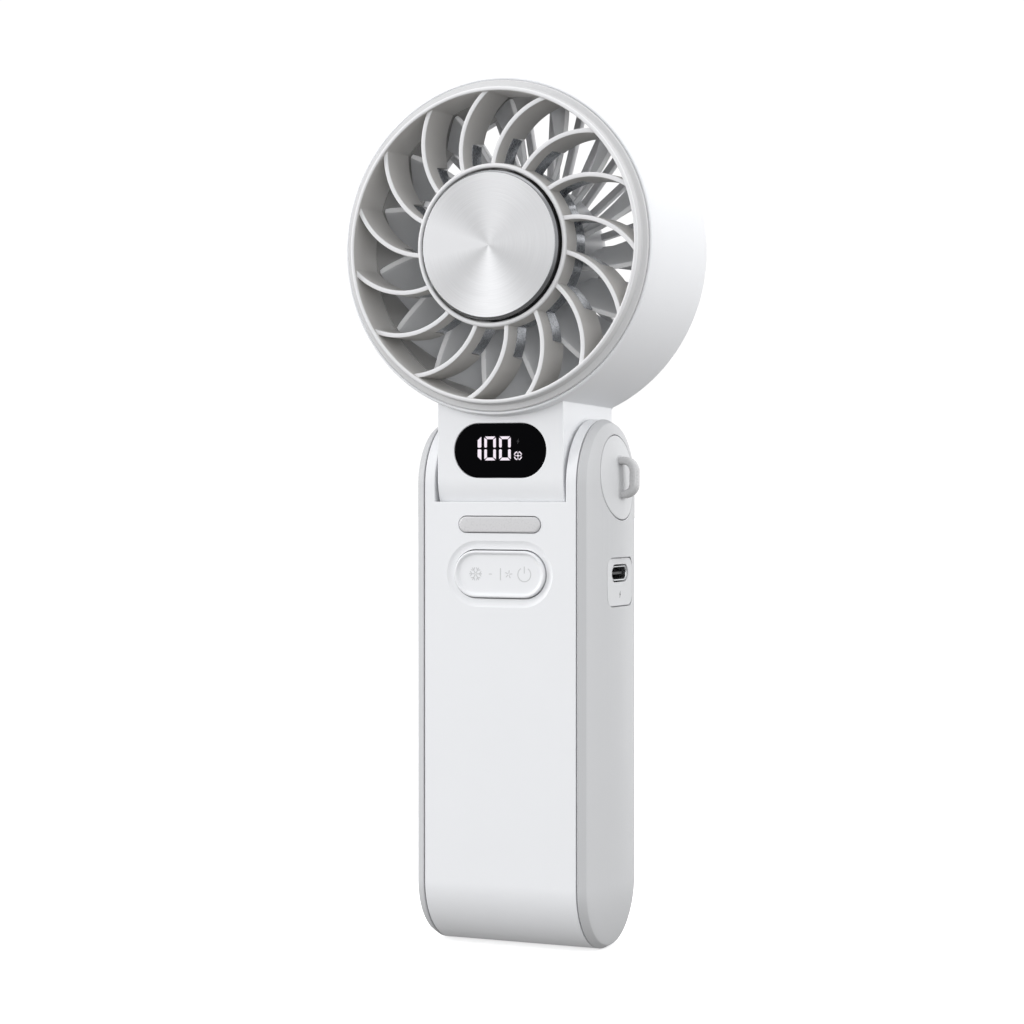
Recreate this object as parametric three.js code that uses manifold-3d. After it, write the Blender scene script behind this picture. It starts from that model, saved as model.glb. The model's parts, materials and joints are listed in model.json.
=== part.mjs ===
// Handheld electric fan with a cooling plate: a flat-sided handle and a round head
// that tilts between two ears at the top of the handle.
// Millimetres. +X is to the right of the front face, +Y points away from the front, +Z is up.
import * as THREE from 'three';
import { mergeVertices } from 'three/addons/utils/BufferGeometryUtils.js';
import Module from 'manifold-3d';

const wasm = await Module();
wasm.setup();

// ---- Driving dimensions ----
const GAP = 0.3;                  // clearance kept between touching pieces
const OVERCUT = 1;                // how far a cutting tool runs past the face it cuts
const ROUND_STEPS = 36;           // sides of a large turned piece
const MEDIUM_STEPS = 20;          // sides of a middling turned piece
const SMALL_STEPS = 12;           // sides of a small turned piece
const ARC_STEPS = 4;              // divisions of each corner in an outline
const END_STEPS = 10;             // divisions of each half-round end of the handle

// Handle
const HANDLE_HALF_DEPTH = 15.4;
const HANDLE_TOP = 122.5;
const SHELL_HALF_WIDTH = 19.1;
const SHELL_WALL = 2.2;
const SLOT_HALF_WIDTH = 16.6;     // inner faces of the two ears
const FRONT_LIP = 103.4;          // top edge of the front wall, between the ears
const REAR_LIP = 93.4;            // lower at the back, so the head can fold back
const BULKHEAD = 1.8;
const PLATE_INNER = 19.4;
const PLATE_EDGE = 21.4;          // where the chamfer of a side plate meets its face
const PLATE_CROWN = 24.3;          // highest point of the crowned side face
const PLATE_CHAMFER = 1;

// Hinge between handle and head
const PIVOT_HEIGHT = 109;
const BARREL_RADIUS = 15.2;
const BARREL_CLEARANCE = 15.6;
const NECK_HALF_WIDTH = 15.9;
const NECK_BACK = 13.8;
const PIN_RADIUS = 3.8;
const PIN_BORE = 4.1;
const CAP_RADIUS = 9.65;

// Rocker button, indicator and switches on the front of the handle
const ROCKER_HEIGHT = 86.8;
const ROCKER_WIDTH = 22.9;
const ROCKER_TALL = 10.8;
const ROCKER_AXIS_DEPTH = -11.6;
const DISH_WIDTH = 26.6;
const DISH_TALL = 15.2;
const INDICATOR_HEIGHT = 98.2;
const INDICATOR_WIDTH = 20.6;
const INDICATOR_TALL = 3.7;
const BOARD_FRONT = -9.9;
const BOARD_BACK = -8.7;

// Charging port in the right side plate
const PORT_PANEL_HEIGHT = 84.9;
const PORT_HEIGHT = 86.9;
const PORT_PANEL_WIDTH = 14.8;
const PORT_PANEL_TALL = 11.1;

// Battery cells
const CELL_RADIUS = 9.2;
const CELL_OFFSET = 9.35;
const CELL_BOTTOM = 9.8;
const CELL_LENGTH = 65;

// Head
const HEAD_HEIGHT = 162;          // axis of the fan
const DRUM_FRONT_RADIUS = 39;
const DRUM_REAR_RADIUS = 39.9;
const DRUM_FRONT = -18;
const DRUM_REAR = 14;
const DRUM_BORE = 37.9;
const DUCT_OUTER = 37.55;
const DUCT_INNER = 35.7;
const HUB_RADIUS = 19;
const PLATE_RADIUS = 17.2;
const PLATE_FRONT = -21.4;
const GRILLE_FRONT = -19.5;
const GRILLE_REAR = -9;
const NOTCH_FRONT = -14.7;
const NOTCH_RADIUS = 25.5;
const RIB_COUNT = 15;
const RIB_THICKNESS = 1.4;

// Display window in the front of the neck
const WINDOW_WIDTH = 23.1;
const WINDOW_TALL = 12.4;
const WINDOW_HEIGHT = 115.2;

// Impeller, motor and rear grille
const BLADE_COUNT = 15;
const BLADE_FRONT = -8;
const BLADE_REAR = 5.5;
const BLADE_TIP = 34.9;
const IMPELLER_HUB = 16;
const REAR_BAR_COUNT = 30;
const REAR_FRONT = 10.8;
const REAR_BACK = 13.9;
const REAR_CENTRE_RADIUS = 14.5;

// Worked out from the above
const BOTTOM_CENTRE = HANDLE_HALF_DEPTH;
const TOP_CENTRE = HANDLE_TOP - HANDLE_HALF_DEPTH;
const PIVOT_IN_HEAD = PIVOT_HEIGHT - HEAD_HEIGHT;
const FRAME_SHIFT = -(PLATE_FRONT + HANDLE_HALF_DEPTH) / 2;

// ---- Solids: joining and cutting ----

// A closed three.js geometry as a solid; a winding that points inwards is turned over.
function solid(geometry) {
  geometry.deleteAttribute('normal');
  geometry.deleteAttribute('uv');
  const merged = mergeVertices(geometry, 1e-4);
  const places = merged.getAttribute('position').array;
  const corners = [];
  const index = merged.index.array;
  for (let i = 0; i < index.length; i += 3) {
    const [a, b, c] = index.slice(i, i + 3);
    if (a !== b && b !== c && c !== a) corners.push(a, b, c);
  }
  const a = new THREE.Vector3();
  const b = new THREE.Vector3();
  const c = new THREE.Vector3();
  let volume = 0;
  for (let i = 0; i < corners.length; i += 3) {
    a.fromArray(places, 3 * corners[i]);
    b.fromArray(places, 3 * corners[i + 1]);
    c.fromArray(places, 3 * corners[i + 2]);
    volume += a.dot(b.cross(c));
  }
  if (volume < 0) corners.reverse();
  const mesh = new wasm.Mesh({
    numProp: 3,
    vertProperties: new Float32Array(places),
    triVerts: new Uint32Array(corners),
  });
  return new wasm.Manifold(mesh);
}

function join(...pieces) {
  return pieces.reduce((whole, piece) => whole.add(piece));
}

function cut(whole, ...tools) {
  return tools.reduce((left, tool) => left.subtract(tool), whole);
}

// A solid as the geometry of a mesh.
function geometryOf(piece) {
  const mesh = piece.getMesh();
  const geometry = new THREE.BufferGeometry();
  geometry.setAttribute('position', new THREE.BufferAttribute(mesh.vertProperties, 3));
  geometry.setIndex(new THREE.BufferAttribute(mesh.triVerts, 1));
  geometry.computeVertexNormals();
  return geometry;
}

// ---- Outlines ----

function roundedRectangle(width, height, radius, x = 0, y = 0) {
  const right = width / 2 - radius;
  const top = height / 2 - radius;
  const outline = new THREE.Shape();
  outline.absarc(x + right, y + top, radius, 0, Math.PI / 2, false);
  outline.absarc(x - right, y + top, radius, Math.PI / 2, Math.PI, false);
  outline.absarc(x - right, y - top, radius, Math.PI, 1.5 * Math.PI, false);
  outline.absarc(x + right, y - top, radius, 1.5 * Math.PI, 2 * Math.PI, false);
  return outline;
}

function stadium(width, height, x = 0, y = 0) {
  return roundedRectangle(width, height, Math.min(width, height) / 2, x, y);
}

// Side view of the handle, as (y, z), with its ends rounded to the given radius.
function handleOutline(radius) {
  const outline = new THREE.Shape();
  outline.absarc(0, TOP_CENTRE, radius, 0, Math.PI, false);
  outline.absarc(0, BOTTOM_CENTRE, radius, Math.PI, 2 * Math.PI, false);
  return outline;
}

// ---- Shapes placed in the object's axes ----

function extrude(outline, depth, steps) {
  return new THREE.ExtrudeGeometry(outline, { depth, bevelEnabled: false, curveSegments: steps });
}

// An outline drawn as (y, z), from x0 to x1.
function alongX(outline, x0, x1, steps = ARC_STEPS) {
  const geometry = extrude(outline, x1 - x0, steps);
  geometry.applyMatrix4(new THREE.Matrix4().set(0, 0, 1, x0, 1, 0, 0, 0, 0, 1, 0, 0, 0, 0, 0, 1));
  return solid(geometry);
}

// An outline drawn as (x, z), from y0 to y1.
function alongY(outline, y0, y1, steps = ARC_STEPS) {
  const geometry = extrude(outline, y1 - y0, steps);
  geometry.rotateX(Math.PI / 2);
  geometry.translate(0, y1, 0);
  return solid(geometry);
}

// An outline drawn as (x, y), from z0 to z1.
function alongZ(outline, z0, z1, steps = ARC_STEPS) {
  const geometry = extrude(outline, z1 - z0, steps);
  geometry.translate(0, 0, z0);
  return solid(geometry);
}

function box(x0, x1, y0, y1, z0, z1) {
  const geometry = new THREE.BoxGeometry(x1 - x0, y1 - y0, z1 - z0);
  geometry.translate((x0 + x1) / 2, (y0 + y1) / 2, (z0 + z1) / 2);
  return solid(geometry);
}

function latheGeometry(profile, steps) {
  return new THREE.LatheGeometry(profile.map(([r, h]) => new THREE.Vector2(r, h)), steps);
}

// A ring turned about the Y axis; its profile of [radius, y] points closes on itself.
function ringY(profile, steps = ROUND_STEPS) {
  return solid(latheGeometry([...profile, profile[0]], steps));
}

// A solid turned about the Y axis; its profile starts and ends on the axis.
function turnedY(profile, steps = ROUND_STEPS) {
  return solid(latheGeometry(profile, steps));
}

function cylinderY(radius, y0, y1, x = 0, z = 0, steps = SMALL_STEPS) {
  const geometry = new THREE.CylinderGeometry(radius, radius, y1 - y0, steps);
  geometry.translate(x, (y0 + y1) / 2, z);
  return solid(geometry);
}

// A solid or ring turned about a line along X at height z.
function turnedX(profile, z, steps = ROUND_STEPS) {
  const geometry = latheGeometry(profile, steps);
  geometry.rotateZ(-Math.PI / 2);
  geometry.translate(0, 0, z);
  return solid(geometry);
}

function ringX(profile, z, steps = ROUND_STEPS) {
  return turnedX([...profile, profile[0]], z, steps);
}

function cylinderX(radius, x0, x1, z, steps = SMALL_STEPS) {
  return turnedX([[0, x0], [radius, x0], [radius, x1], [0, x1]], z, steps);
}

function cylinderZ(radius, z0, z1, x = 0, y = 0, steps = SMALL_STEPS) {
  const geometry = new THREE.CylinderGeometry(radius, radius, z1 - z0, steps);
  geometry.rotateX(Math.PI / 2);
  geometry.translate(x, y, (z0 + z1) / 2);
  return solid(geometry);
}

// ---- Handle ----

function handleShell() {
  const tube = cut(
    alongX(handleOutline(HANDLE_HALF_DEPTH), -SHELL_HALF_WIDTH, SHELL_HALF_WIDTH, END_STEPS),
    alongX(handleOutline(HANDLE_HALF_DEPTH - SHELL_WALL), -SHELL_HALF_WIDTH - OVERCUT,
      SHELL_HALF_WIDTH + OVERCUT, END_STEPS),
  );
  const bulkheadBottom = REAR_LIP - GAP - BULKHEAD;
  const fullDepth = handleOutline(HANDLE_HALF_DEPTH);
  const below = box(-30, 30, -30, 30, -OVERCUT, bulkheadBottom);
  const ears = [-1, 1].map((side) => {
    const inner = side * SLOT_HALF_WIDTH;
    const outer = side * SHELL_HALF_WIDTH;
    return cut(alongX(fullDepth, Math.min(inner, outer), Math.max(inner, outer), END_STEPS), below);
  });
  const bulkhead = box(-SHELL_HALF_WIDTH + GAP, SHELL_HALF_WIDTH - GAP, -8, 14, bulkheadBottom,
    bulkheadBottom + BULKHEAD);
  const bosses = [-14, 14].map((x) => box(x - 2, x + 2, -8.4, -3, 89.3, bulkheadBottom + BULKHEAD));
  const lugs = [-1, 1].map((side) => {
    const middle = ROCKER_HEIGHT + side * 7.5;
    return box(-2.4, 2.4, -HANDLE_HALF_DEPTH + SHELL_WALL - GAP, -10.3, middle - 0.6, middle + 0.6);
  });
  const whole = join(tube, ...ears, bulkhead, ...bosses, ...lugs);

  const front = -HANDLE_HALF_DEPTH;
  const slot = [
    box(-SLOT_HALF_WIDTH, SLOT_HALF_WIDTH, front - OVERCUT, 0.5, FRONT_LIP, HANDLE_TOP + OVERCUT),
    box(-SLOT_HALF_WIDTH, SLOT_HALF_WIDTH, 0, -front + OVERCUT, REAR_LIP, HANDLE_TOP + OVERCUT),
    cylinderX(BARREL_CLEARANCE, -SLOT_HALF_WIDTH, SLOT_HALF_WIDTH, PIVOT_HEIGHT, ROUND_STEPS),
  ];
  const openings = [
    alongY(stadium(DISH_WIDTH, DISH_TALL, 0, ROCKER_HEIGHT), front - OVERCUT, front + 0.4),
    alongY(stadium(ROCKER_WIDTH + 2 * GAP, ROCKER_TALL + 2 * GAP, 0, ROCKER_HEIGHT),
      front - OVERCUT, front + SHELL_WALL + OVERCUT / 2),
    alongY(stadium(INDICATOR_WIDTH + 2 * GAP, INDICATOR_TALL + 2 * GAP, 0, INDICATOR_HEIGHT),
      front - OVERCUT, front + SHELL_WALL + OVERCUT),
  ];
  const bores = [
    cylinderX(PIN_BORE, -30, 30, PIVOT_HEIGHT),
    cylinderZ(1.1, ROCKER_HEIGHT - 9, ROCKER_HEIGHT + 9, 0, ROCKER_AXIS_DEPTH, 8),
    ...[-14, 14].map((x) => cylinderY(0.85, -9, -3.6, x, 91.3)),
  ];
  return cut(whole, ...slot, ...openings, ...bores);
}

// Half a pillow: the whole volume of the right side plate and its hinge cap.
function sidePillow() {
  const crown = [1, 0.7, 0.4, 0].map((share) => {
    const distance = share * (HANDLE_HALF_DEPTH - PLATE_CHAMFER);
    return [distance, PLATE_CROWN - (PLATE_CROWN - PLATE_EDGE) * share * share];
  });
  const rim = [[HANDLE_HALF_DEPTH - GAP, PLATE_INNER], [HANDLE_HALF_DEPTH, PLATE_INNER + GAP]];
  const half = [...rim, ...crown];
  const ends = [BOTTOM_CENTRE, TOP_CENTRE].map((z) => turnedX([[0, PLATE_INNER], ...half], z, 2 * END_STEPS));
  const section = new THREE.Shape();
  section.moveTo(PLATE_INNER, rim[0][0]);
  half.slice(1).forEach(([distance, x]) => section.lineTo(x, distance));
  half.slice(0, -1).reverse().forEach(([distance, x]) => section.lineTo(x, -distance));
  return join(alongZ(section, BOTTOM_CENTRE, TOP_CENTRE), ...ends);
}

const pillow = sidePillow();

function sidePlate(withPort) {
  const pocketDepth = PLATE_EDGE - 0.6;
  const pocket = alongX(handleOutline(HANDLE_HALF_DEPTH - 3.2), PLATE_INNER - OVERCUT, pocketDepth);
  const capWall = CAP_RADIUS + GAP;
  const plate = cut(pillow, pocket, cylinderX(capWall, PLATE_INNER - OVERCUT, 30, PIVOT_HEIGHT, MEDIUM_STEPS));
  if (!withPort) return plate;
  const opening = roundedRectangle(PORT_PANEL_WIDTH + 2 * GAP, PORT_PANEL_TALL + 2 * GAP, 2.6, 0,
    PORT_PANEL_HEIGHT);
  return cut(plate, alongX(opening, PLATE_INNER - OVERCUT, 30));
}

function hingeCap(withSlot) {
  const inside = 21.4;
  const disc = cylinderX(CAP_RADIUS, inside, 30, PIVOT_HEIGHT, MEDIUM_STEPS);
  const cap = pillow.intersect(disc);
  if (!withSlot) return cap;
  const slot = roundedRectangle(4, 10.2, 1.2, 0, PIVOT_HEIGHT);
  return cut(cap, alongX(slot, 22, 30));
}

// D-shaped lanyard eye, drawn as (x, z): straight legs that end in a half round.
function lanyardLoop() {
  const foot = 22.3;
  const outline = (reach, halfHeight, from) => {
    const corner = halfHeight * 0.62;
    const shape = new THREE.Shape();
    shape.moveTo(from, PIVOT_HEIGHT - halfHeight);
    shape.lineTo(reach - corner, PIVOT_HEIGHT - halfHeight);
    shape.absarc(reach - corner, PIVOT_HEIGHT - halfHeight + corner, corner, -Math.PI / 2, 0, false);
    shape.absarc(reach - corner, PIVOT_HEIGHT + halfHeight - corner, corner, 0, Math.PI / 2, false);
    shape.lineTo(from, PIVOT_HEIGHT + halfHeight);
    return shape;
  };
  return cut(alongY(outline(28.2, 4.8, foot), -1.6, 1.6), alongY(outline(26.3, 3, foot - OVERCUT), -3, 3));
}

function hingePin() {
  const bore = 2;
  const head = 6;
  return ringX([[bore, 13.3], [PIN_RADIUS, 13.3], [PIN_RADIUS, 20.3], [head, 20.3], [head, 21.1],
    [bore, 21.1]], PIVOT_HEIGHT, SMALL_STEPS);
}

function springWasher() {
  return ringX([[4.2, 19.4], [7.5, 19.4], [7.5, 20], [4.2, 20]], PIVOT_HEIGHT, SMALL_STEPS);
}

function rockerButton() {
  const face = alongY(stadium(ROCKER_WIDTH, ROCKER_TALL, 0, ROCKER_HEIGHT), -15.8, -12.2);
  const hollow = alongY(stadium(ROCKER_WIDTH - 1.8, ROCKER_TALL - 1.8, 0, ROCKER_HEIGHT), -17, -15.3);
  const flange = alongY(stadium(ROCKER_WIDTH + 2.1, ROCKER_TALL + 2.1, 0, ROCKER_HEIGHT), -12.55, -11.9);
  const axle = cylinderZ(0.8, ROCKER_HEIGHT - 8.3, ROCKER_HEIGHT + 8.3, 0, ROCKER_AXIS_DEPTH, 8);
  return join(cut(face, hollow), flange, axle);
}

function indicatorLens() {
  return alongY(stadium(INDICATOR_WIDTH, INDICATOR_TALL, 0, INDICATOR_HEIGHT), -15.2, -13.4);
}

function mainBoard() {
  const board = box(-16.3, 16.3, BOARD_FRONT, BOARD_BACK, 76, 95.6);
  const controller = box(-4, 4, BOARD_BACK - 0.2, BOARD_BACK + 1.2, 78, 85);
  const coil = box(6, 12, BOARD_BACK - 0.2, BOARD_BACK + 2.8, 77, 82);
  const connector = box(-13, -7, BOARD_BACK - 0.2, BOARD_BACK + 3.2, 77, 81);
  const holes = [-14, 14].map((x) => cylinderY(0.95, -11, -8, x, 91.3));
  return cut(join(board, controller, coil, connector), ...holes);
}

function boardScrew(x) {
  return join(
    cylinderY(1.6, BOARD_FRONT - 1.3, BOARD_FRONT - GAP, x, 91.3),
    cylinderY(0.55, BOARD_FRONT - 0.5, -4, x, 91.3),
  );
}

function tactSwitch(x) {
  const body = box(x - 2.25, x + 2.25, -11.2, BOARD_FRONT - GAP, ROCKER_HEIGHT - 2.25, ROCKER_HEIGHT + 2.25);
  return join(body, cylinderY(1.1, -11.55, -11, x, ROCKER_HEIGHT));
}

function batteryCell(side) {
  const top = CELL_BOTTOM + CELL_LENGTH;
  const profile = [[0, CELL_BOTTOM], [CELL_RADIUS - 0.6, CELL_BOTTOM], [CELL_RADIUS, CELL_BOTTOM + 0.6],
    [CELL_RADIUS, top - 1], [2.9, top - 1], [2.9, top], [0, top]];
  const geometry = latheGeometry(profile, MEDIUM_STEPS);
  geometry.rotateX(Math.PI / 2);
  geometry.translate(side * CELL_OFFSET, 0, 0);
  return solid(geometry);
}

function batteryCradle() {
  const inside = alongX(handleOutline(HANDLE_HALF_DEPTH - SHELL_WALL - 0.4), -18.9, 18.9);
  const block = inside.intersect(box(-18.9, 18.9, 1, 13, 7.6, 74));
  const nests = [-1, 1].map((side) => cylinderZ(CELL_RADIUS + GAP, CELL_BOTTOM - GAP, 80,
    side * CELL_OFFSET, 0, MEDIUM_STEPS));
  return cut(block, ...nests);
}

function portPanel() {
  const shape = roundedRectangle(PORT_PANEL_WIDTH, PORT_PANEL_TALL, 2.4, 0, PORT_PANEL_HEIGHT);
  const mouth = stadium(9.9, 4.1, 0, PORT_HEIGHT);
  return cut(alongX(shape, 20.6, 23.6), alongX(mouth, 19, 25));
}

function portSocket() {
  const outer = stadium(9.2, 3.4, 0, PORT_HEIGHT);
  const inner = stadium(8.5, 2.7, 0, PORT_HEIGHT);
  return cut(alongX(outer, 14.2, 23.4, 4), alongX(inner, 15, 25, 4));
}

function portTongue() {
  return box(15.3, 22.7, -3.35, 3.35, PORT_HEIGHT - 0.35, PORT_HEIGHT + 0.35);
}

function portBoard() {
  const height = PORT_HEIGHT - 1.7 - GAP;
  return box(9, 19, -6.5, 6.5, height - 1, height);
}

// ---- Head: everything here is drawn about the fan's own axis ----

function headHousing() {
  const drum = turnedY([[0, DRUM_FRONT + 0.3], [DRUM_BORE + 0.1, DRUM_FRONT + 0.3], [DRUM_BORE + 0.4, DRUM_FRONT],
    [DRUM_FRONT_RADIUS - 0.35, DRUM_FRONT + 0.3], [DRUM_FRONT_RADIUS, DRUM_FRONT + 1.2],
    [DRUM_REAR_RADIUS, DRUM_REAR - 1.2], [DRUM_REAR_RADIUS - 0.6, DRUM_REAR - 0.2],
    [DRUM_BORE + 0.4, DRUM_REAR], [0, DRUM_REAR]], ROUND_STEPS);
  const neck = box(-NECK_HALF_WIDTH, NECK_HALF_WIDTH, -BARREL_RADIUS, NECK_BACK, PIVOT_IN_HEAD, -32);
  const barrel = cylinderX(BARREL_RADIUS, -NECK_HALF_WIDTH, NECK_HALF_WIDTH, PIVOT_IN_HEAD, ROUND_STEPS);
  const bore = cylinderY(DRUM_BORE, -30, 30, 0, 0, ROUND_STEPS);
  const windowCentre = WINDOW_HEIGHT - HEAD_HEIGHT;
  const pockets = [
    box(-13, 13, -11.8, 9, PIVOT_IN_HEAD - 6, -39.4),
    box(-11, 11, 8, NECK_BACK + OVERCUT, -45.8, -39.4),
    alongY(stadium(WINDOW_WIDTH + 2 * GAP, WINDOW_TALL + 2 * GAP, 0, windowCentre), -17, -13.9),
    box(-9, 9, -15, -11, windowCentre - 4.6, windowCentre + 4.6),
    cylinderZ(2, -41, -36, 0, 0),
    cylinderX(PIN_BORE, -30, 30, PIVOT_IN_HEAD),
  ];
  return cut(join(drum, neck, barrel), bore, ...pockets);
}

function neckRearCover() {
  return box(-10.7, 10.7, 12, 13.6, -45.5, -39.7);
}

function displayWindow() {
  return alongY(stadium(WINDOW_WIDTH, WINDOW_TALL, 0, WINDOW_HEIGHT - HEAD_HEIGHT), -15.1, -14.2);
}

function displayBoard() {
  const centre = WINDOW_HEIGHT - HEAD_HEIGHT;
  return join(
    box(-12.5, 12.5, -11.5, -10.3, centre - 8, centre + 5.6),
    box(-8.6, 8.6, -13.9, -11.4, centre - 4.2, centre + 4.2),
  );
}

// A point of the front view at a radius and an angle clockwise from the top.
function facePoint(radius, degrees) {
  const angle = THREE.MathUtils.degToRad(degrees);
  return new THREE.Vector2(radius * Math.sin(angle), radius * Math.cos(angle));
}

// Centre line of a swept rib, as the arc through three points of the front view.
function ribArc() {
  const [a, b, c] = [facePoint(HUB_RADIUS, -23.1), facePoint(27.9, -14.6), facePoint(35.4, -2.4)];
  const twice = 2 * (a.x * (b.y - c.y) + b.x * (c.y - a.y) + c.x * (a.y - b.y));
  const centre = new THREE.Vector2(
    (a.lengthSq() * (b.y - c.y) + b.lengthSq() * (c.y - a.y) + c.lengthSq() * (a.y - b.y)) / twice,
    (a.lengthSq() * (c.x - b.x) + b.lengthSq() * (a.x - c.x) + c.lengthSq() * (b.x - a.x)) / twice,
  );
  const from = Math.atan2(a.y - centre.y, a.x - centre.x);
  const to = Math.atan2(c.y - centre.y, c.x - centre.x);
  return { centre, radius: centre.distanceTo(a), from, to };
}

// A band that follows the rib's arc, overrunning its hub and rim ends.
function ribOutline(thickness) {
  const { centre, radius, from, to } = ribArc();
  const overrun = 0.03;
  const outline = new THREE.Shape();
  outline.absarc(centre.x, centre.y, radius + thickness / 2, from + overrun, to - overrun, true);
  outline.absarc(centre.x, centre.y, radius - thickness / 2, to - overrun, from + overrun, false);
  return outline;
}

function ribs(thickness, y0, y1, count) {
  const copies = [];
  for (let i = 0; i < count; i += 1) {
    const geometry = extrude(ribOutline(thickness), y1 - y0, 4);
    geometry.rotateX(Math.PI / 2);
    geometry.translate(0, y1, 0);
    geometry.rotateY(2 * Math.PI * i / count);
    copies.push(solid(geometry));
  }
  return join(...copies);
}

function frontGrille() {
  const rim = ringY([[DUCT_INNER, GRILLE_REAR], [DUCT_INNER, -19.3], [36.3, -19.9], [37, -19.2],
    [37, -17.9], [DUCT_OUTER, -17.9], [DUCT_OUTER, GRILLE_REAR]]);
  const hub = ringY([[17.8, -18], [17.8, -19.4], [18.4, -19.9], [HUB_RADIUS, -18.8],
    [HUB_RADIUS, NOTCH_FRONT], [15, NOTCH_FRONT], [15, -18]]);
  const notch = cylinderY(NOTCH_RADIUS, NOTCH_FRONT, 0, 0, 0, ROUND_STEPS);
  const bars = cut(ribs(RIB_THICKNESS, GRILLE_FRONT, GRILLE_REAR, RIB_COUNT), notch);
  return join(rim, hub, bars);
}

function coolingPlate() {
  return turnedY([[0, PLATE_FRONT], [16.6, PLATE_FRONT], [PLATE_RADIUS, -20.9], [PLATE_RADIUS, -19.2],
    [14.6, -19.2], [14.6, -17.4], [0, -17.4]]);
}

function plateGasket() {
  return ringY([[15.3, -18.9], [17.5, -18.9], [17.5, -18.3], [15.3, -18.3]], MEDIUM_STEPS);
}

function peltierModule() {
  return box(-10, 10, -17.1, -13.7, -10, 10);
}

function heatSink() {
  const core = cylinderY(HUB_RADIUS - 0.1, -14.4, -9.4, 0, 0, ROUND_STEPS);
  const pocket = box(-10.3, 10.3, -16, -13.4, -10.3, 10.3);
  const tips = cylinderY(NOTCH_RADIUS - GAP, -14.4, -9.4, 0, 0, ROUND_STEPS);
  const fins = ribs(1, -14.4, -9.4, RIB_COUNT).intersect(tips);
  return cut(join(core, fins), pocket);
}

function airDuct() {
  return ringY([[DUCT_INNER, -8.7], [DUCT_OUTER, -8.7], [DUCT_OUTER, 10.4], [DUCT_INNER, 10.4]]);
}

// A blade: a radial strip whose angle turns with depth and leans back towards the tip.
function blade(number) {
  const root = IMPELLER_HUB - 0.6;
  const span = BLADE_TIP - root;
  const chord = BLADE_REAR - BLADE_FRONT;
  const wrap = THREE.MathUtils.degToRad(17);
  const lean = THREE.MathUtils.degToRad(0.63);
  const tipAngle = THREE.MathUtils.degToRad(-0.6);
  const geometry = new THREE.BoxGeometry(span, chord, 1.3, 2, 3, 1);
  const place = geometry.getAttribute('position');
  for (let i = 0; i < place.count; i += 1) {
    const radius = root + span / 2 + place.getX(i);
    const depth = chord / 2 + place.getY(i);
    const angle = tipAngle + lean * (BLADE_TIP - radius) - wrap * depth / chord + place.getZ(i) / radius;
    place.setXYZ(i, radius * Math.sin(angle), BLADE_FRONT + depth, radius * Math.cos(angle));
  }
  geometry.rotateY(2 * Math.PI * number / BLADE_COUNT);
  return solid(geometry);
}

function impeller() {
  const front = -8.2;
  const hub = turnedY([[0, front], [IMPELLER_HUB, front], [IMPELLER_HUB, 8], [14.2, 8], [14.2, -6.6],
    [1.55, -6.6], [1.55, -7.2], [0, -7.2]], 2 * BLADE_COUNT);
  const blades = Array.from({ length: BLADE_COUNT }, (unused, number) => blade(number));
  return join(hub, ...blades);
}

function rotorCan() {
  return ringY([[12.8, -6], [13.9, -6], [13.9, 7.4], [12.8, 7.4]], MEDIUM_STEPS);
}

function motorShaft() {
  return cylinderY(1.25, -6.9, 9.6);
}

function motorStator() {
  const slots = Array.from({ length: 9 }, (unused, i) => {
    const geometry = new THREE.BoxGeometry(3.2, 12, 2.6);
    geometry.translate(9.7, 0.5, 0);
    geometry.rotateY(2 * Math.PI * i / 9);
    return solid(geometry);
  });
  return cut(ringY([[4.6, -4.5], [12.4, -4.5], [12.4, 5.5], [4.6, 5.5]], MEDIUM_STEPS), ...slots);
}

function motorBoard() {
  return ringY([[4.6, 6.3], [11.8, 6.3], [11.8, 7.3], [4.6, 7.3]], MEDIUM_STEPS);
}

function motorMount() {
  const tube = ringY([[3.4, -4.5], [4.2, -4.5], [4.2, 8.6], [11.6, 8.6], [11.6, 10.3], [3.4, 10.3]], MEDIUM_STEPS);
  return cut(tube, ...screwPlaces().map(([x, z]) => cylinderY(0.85, 8, 11, x, z)));
}

function bearing(y0) {
  return ringY([[1.6, y0], [3.1, y0], [3.1, y0 + 2.4], [1.6, y0 + 2.4]], SMALL_STEPS);
}

function screwPlaces() {
  return [0, 120, 240].map((degrees) => facePoint(8, degrees).toArray());
}

function motorScrew([x, z]) {
  return join(cylinderY(1.6, 12.4, 13.4, x, z), cylinderY(0.55, 8.9, 12.6, x, z));
}

function rearGrille() {
  const rim = ringY([[35.2, REAR_FRONT], [DUCT_OUTER, REAR_FRONT], [DUCT_OUTER, REAR_BACK],
    [35.2, REAR_BACK]], 2 * REAR_BAR_COUNT);
  const centre = cylinderY(REAR_CENTRE_RADIUS, REAR_FRONT, REAR_BACK, 0, 0, ROUND_STEPS);
  const firstBar = THREE.MathUtils.degToRad(2.7);
  const bars = Array.from({ length: REAR_BAR_COUNT }, (unused, i) => {
    const geometry = new THREE.BoxGeometry(1.6, REAR_BACK - REAR_FRONT - 0.6, 22);
    geometry.translate(0, (REAR_BACK + REAR_FRONT) / 2, 25);
    geometry.rotateY(firstBar + 2 * Math.PI * i / REAR_BAR_COUNT);
    return solid(geometry);
  });
  const holes = screwPlaces().flatMap(([x, z]) => [
    cylinderY(0.95, 10, 13, x, z),
    cylinderY(2, 12.1, 15, x, z),
  ]);
  return cut(join(rim, centre, ...bars), ...holes);
}

// ---- Materials and assembly ----

function plastic(colour, roughness = 0.5) {
  return new THREE.MeshStandardMaterial({ color: colour, roughness, metalness: 0 });
}

function metal(colour, roughness = 0.35) {
  return new THREE.MeshStandardMaterial({ color: colour, roughness, metalness: 1 });
}

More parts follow.
